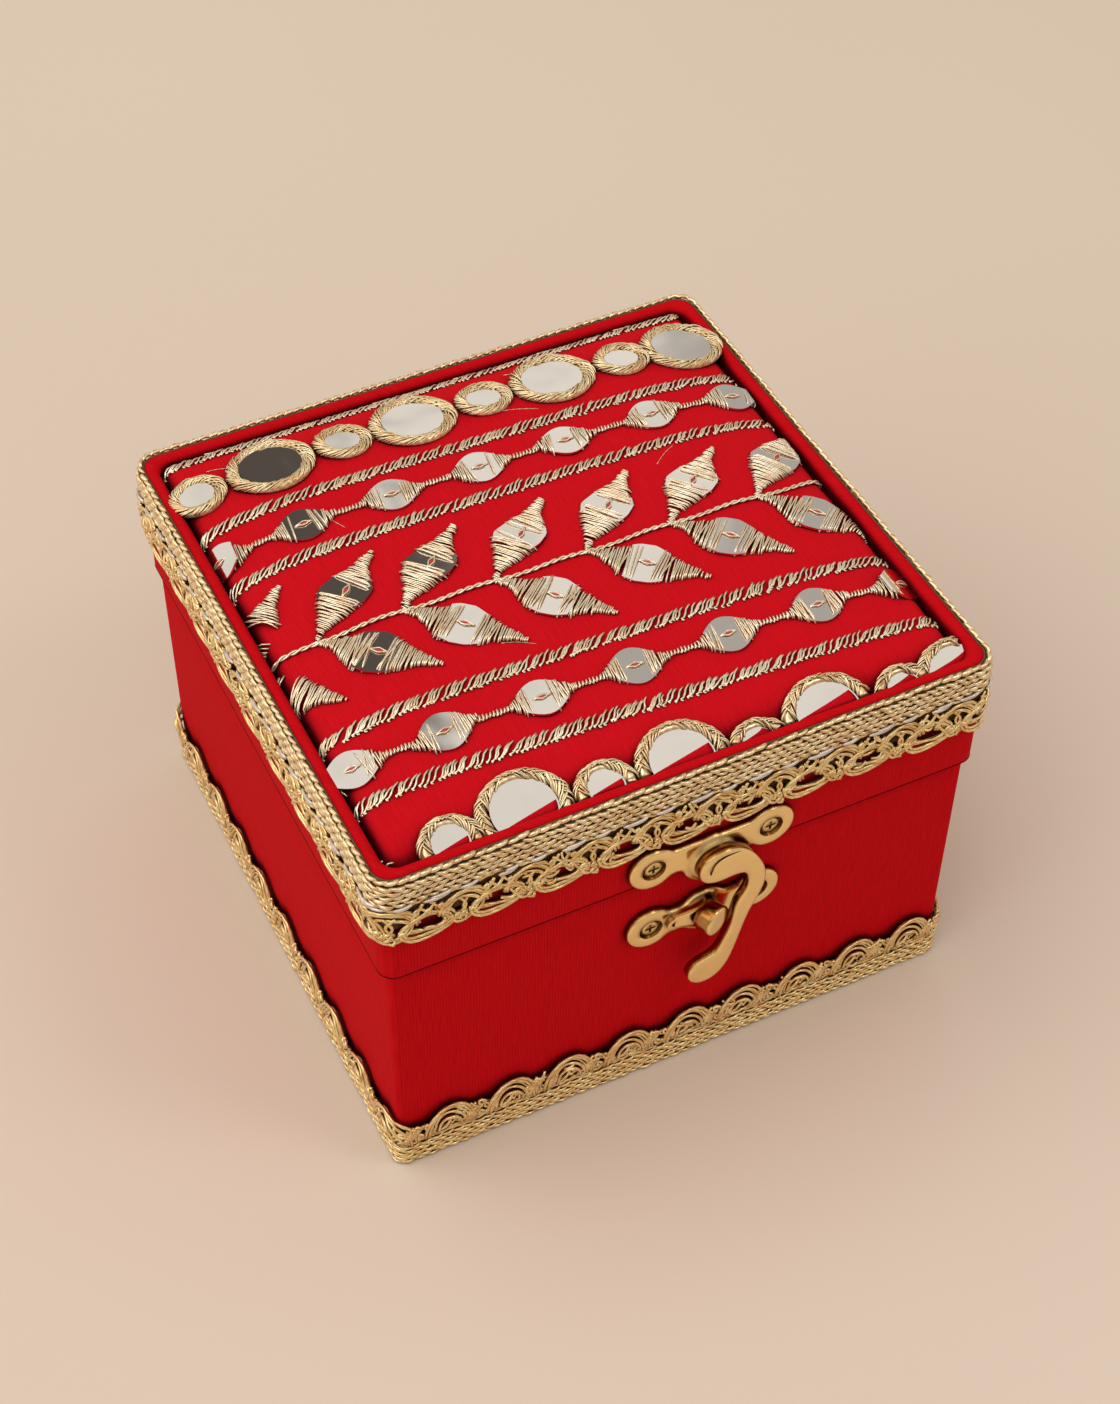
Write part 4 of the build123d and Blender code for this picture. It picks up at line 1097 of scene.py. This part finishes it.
sets += lid_border.crossing(both_ways(0.0, (
    ((-3.6, 4.2), (-2.6, 2.6), (-1.6, 1.6), (-0.6, 0.4)),
    ((-2.8, 3.7), (-1.6, 2.8), (0.2, 2.6), (1.6, 1.0)),
)), 0.9, 0.32)
sets += lid_border.crossing(both_ways(-valley, (
    ((-7.6, 2.2), (-5.8, 3.8), (-5.8, 4.8), (-7.4, 6.6)),
    ((-10.4, 5.0), (-9.4, 6.8), (-8.4, 6.2), (-7.0, 7.6)),
)), 1.0, 0.3)
sets += lid_border.knots((
    (-valley, 8.1, 0.7), (-8.2, 6.4, 0.62), (-5.0, 6.3, 0.62), (-valley, 6.7, 0.5),
    (0.2, 2.6, 0.5), (-2.2, 1.6, 0.45), (2.4, 1.9, 0.45),
))
sets.append(lid_border.loose(150, 1.2, 7.6))
lay_threads("lid_lace_border", "lid", "gold_lace", border_gold, sets)

sets = []
for number, level in enumerate((1.15, 2.95, 4.75)):
    sets += chain_row("base", level, 1.75, 1 if number % 2 else -1, 2.4, 0.45, 0.36)
piece = lay_threads("base_lace_band", "base", "gold_lace", border_gold, sets)
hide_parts("base_lace")

base_border = Border("base", 0.0, 1, -4.4)
sets = [
    long_cord("base", 6.15, 0.5, 0.34, 0.15, 0.0),
    long_cord("base", 6.9, 0.65, 0.34, 0.3, 1.4),
    long_cord("base", 7.6, 0.6, 0.32, 0.4, 2.4),
]
fans = ((5.5, 7.7), (4.85, 7.0), (4.2, 6.3), (3.5, 5.5), (2.5, 4.2))
between = ((2.9, 2.3), (2.2, 1.6), (2.8, -1.3), (2.1, -0.7))
sets += base_border.curved((0.0, 7.4), fans, full_swing, 1.3, 0.33)
sets += base_border.curved((valley, 8.8), between, full_swing, 1.05, 0.36)
sets += base_border.crossing((
    ((2.0, 7.4), (2.9, 9.0), (3.9, 10.6), (5.6, 12.0)),
    ((2.7, 7.2), (3.6, 8.7), (4.7, 10.2), (6.3, 11.3)),
    ((3.4, 7.0), (4.4, 8.4), (5.6, 9.6), (7.2, 10.6)),
    ((9.4, 11.4), (9.0, 10.0), (8.6, 9.0), (7.4, 7.4)),
    ((10.2, 10.6), (9.8, 9.2), (9.4, 8.4), (8.4, 7.2)),
    ((-2.4, 7.6), (-1.4, 8.8), (-0.6, 9.4), (0.2, 10.2)),
), 1.0, 0.33)
sets += base_border.knots((
    (0.5, 9.9, 0.7), (valley, 11.5, 0.72), (4.9, 10.9, 0.55), (8.3, 10.7, 0.55),
    (valley, 8.6, 0.5),
))
sets.append(base_border.loose(140, 6.8, 12.2))
lay_threads("base_lace_border", "base", "gold_lace", border_gold, sets)


# Silver floats: flat strips of silver thread that lie along the lid's band, one or two in
# every repeat, woven in with the gold.
def silver_floats():
    """Each strip lies nearly level, swells off the band and tapers by a half sine."""
    share = np.linspace(0, 1, 9)[None, :]
    kept = []
    for shift, level, length in ((2.0, 83.0, 5.0), (2.9, 83.5, 3.6), (8.2, 83.4, 3.6)):
        size = length * (1 + lid_border.scatter(0.15))
        along = lid_border.starts + shift + size * (share - 0.5)
        rise = level + 0.5 * (share - 0.5) + lid_border.scatter(0.12)
        spots, face = on_wall("lid", along, rise, 1.2 + 0.3 * np.sin(share * math.pi))
        kept.append(tubes(spots, face, 0.16 + 0.24 * np.sin(share * math.pi) ** 0.5, 6))
    return kept


silver = speckled("silver thread", (176, 150, 124), (250, 244, 236), 700.0, 2.0, 0.35, 0.6)
lay_threads("silver_float_threads", "lid", "gold_lace", silver, silver_floats())

# Backing of the lace: a thin dark sheet behind the chain rows and part of the border, painted
# shade seen between their stitches. On the lid it goes on part of the way over the rim.
painted_shade_backing = speckled("dark backing as painted shade", (52, 26, 12), (130, 88, 48), 1500.0, 2.0, 0.6, 0.3)
rim_axis = (rim_radius, rim_middle)
over_rim = arc(rim_axis, 1.8, 180, 130, 6) + arc(rim_axis, 1.4, 130, 180, 6)
for which, half, centre, corner, low, high, top in (
    ("lid", lid_half, 0.0, lid_corner, 76.9, 88.8, over_rim),
    ("base", base_half, base_centre, base_corner, 0.5, 7.4, [(0.1, 7.4)]),
):
    profile = [(0.1, low), (-0.4, low + 0.2), (-0.4, high - 0.4)] + top
    points, faces = carry_round(profile, *half, centre, corner, 1.0)
    lay_mesh(which + "_lace_shade_backing", which, "gold_lace", painted_shade_backing, points, faces[:, ::-1])


# Metal and board: polished brass for the latch and its screws, whose plates, arm and stud are
# cast, satin brass for the stamped and rolled hinges, and greyboard inside the walls.
def brass(name, bright, dull, side, roughness):
    """Brass, from dull to bright by a fine noise. Faces that look towards the box's sides, top
    or foot have the side colour, a painted dark reflection. Recesses are painted dark brown as
    shade."""
    material, tree, shader = new_material(name)
    tone = noise(tree, 260.0, 4.0)
    looks = node(tree, "TexCoord").outputs["Normal"]
    forward = node(tree, "SeparateXYZ", Vector=looks).outputs["Y"]
    # Painted dark reflection: faces that do not look to the front or back take the darker side
    # colour.
    front = ramp(tree, combine(tree, "ABSOLUTE", forward), 0.25, 0.8)
    colour = blend(tree, front, linear(*side), blend(tree, tone, linear(*dull), linear(*bright)))
    # Painted shade: recesses, screw seats and the gaps between parts turn dark brown.
    colour = paint_occlusion_shade(tree, colour, linear(98, 58, 22), 0.0022, 0.35, 0.95)
    rough = node(tree, "MapRange", Value=tone, To_Min=roughness * 0.8, To_Max=roughness * 1.3)
    rounded = node(tree, "Bevel", {"samples": 8}, Radius=0.0014).outputs["Normal"]
    pitted = bumped(tree, 0.06, 0.0002, tone, Normal=rounded)
    feed(
        tree, shader, Base_Color=colour, Metallic=1.0, Roughness=rough.outputs[0], Normal=pitted
    )
    return material


polished = brass("polished brass", (252, 222, 156), (238, 202, 134), (158, 104, 50), 0.12)
satin = brass("satin brass", (214, 172, 104), (190, 146, 82), (190, 146, 82), 0.32)
grey_board = speckled("grey board", (120, 112, 100), (170, 162, 150), 700.0, 4.0, 0.9)
for name, cad_node in nodes.items():
    if name.startswith(("latch_", "catch_")):
        finish = polished
    elif name.startswith("hinge_"):
        finish = satin
    elif name.endswith("_lining") or name == "base_underside_felt":
        finish = lining_cloth
    else:
        finish = grey_board
    cad_node.data.materials.clear()
    cad_node.data.materials.append(finish)
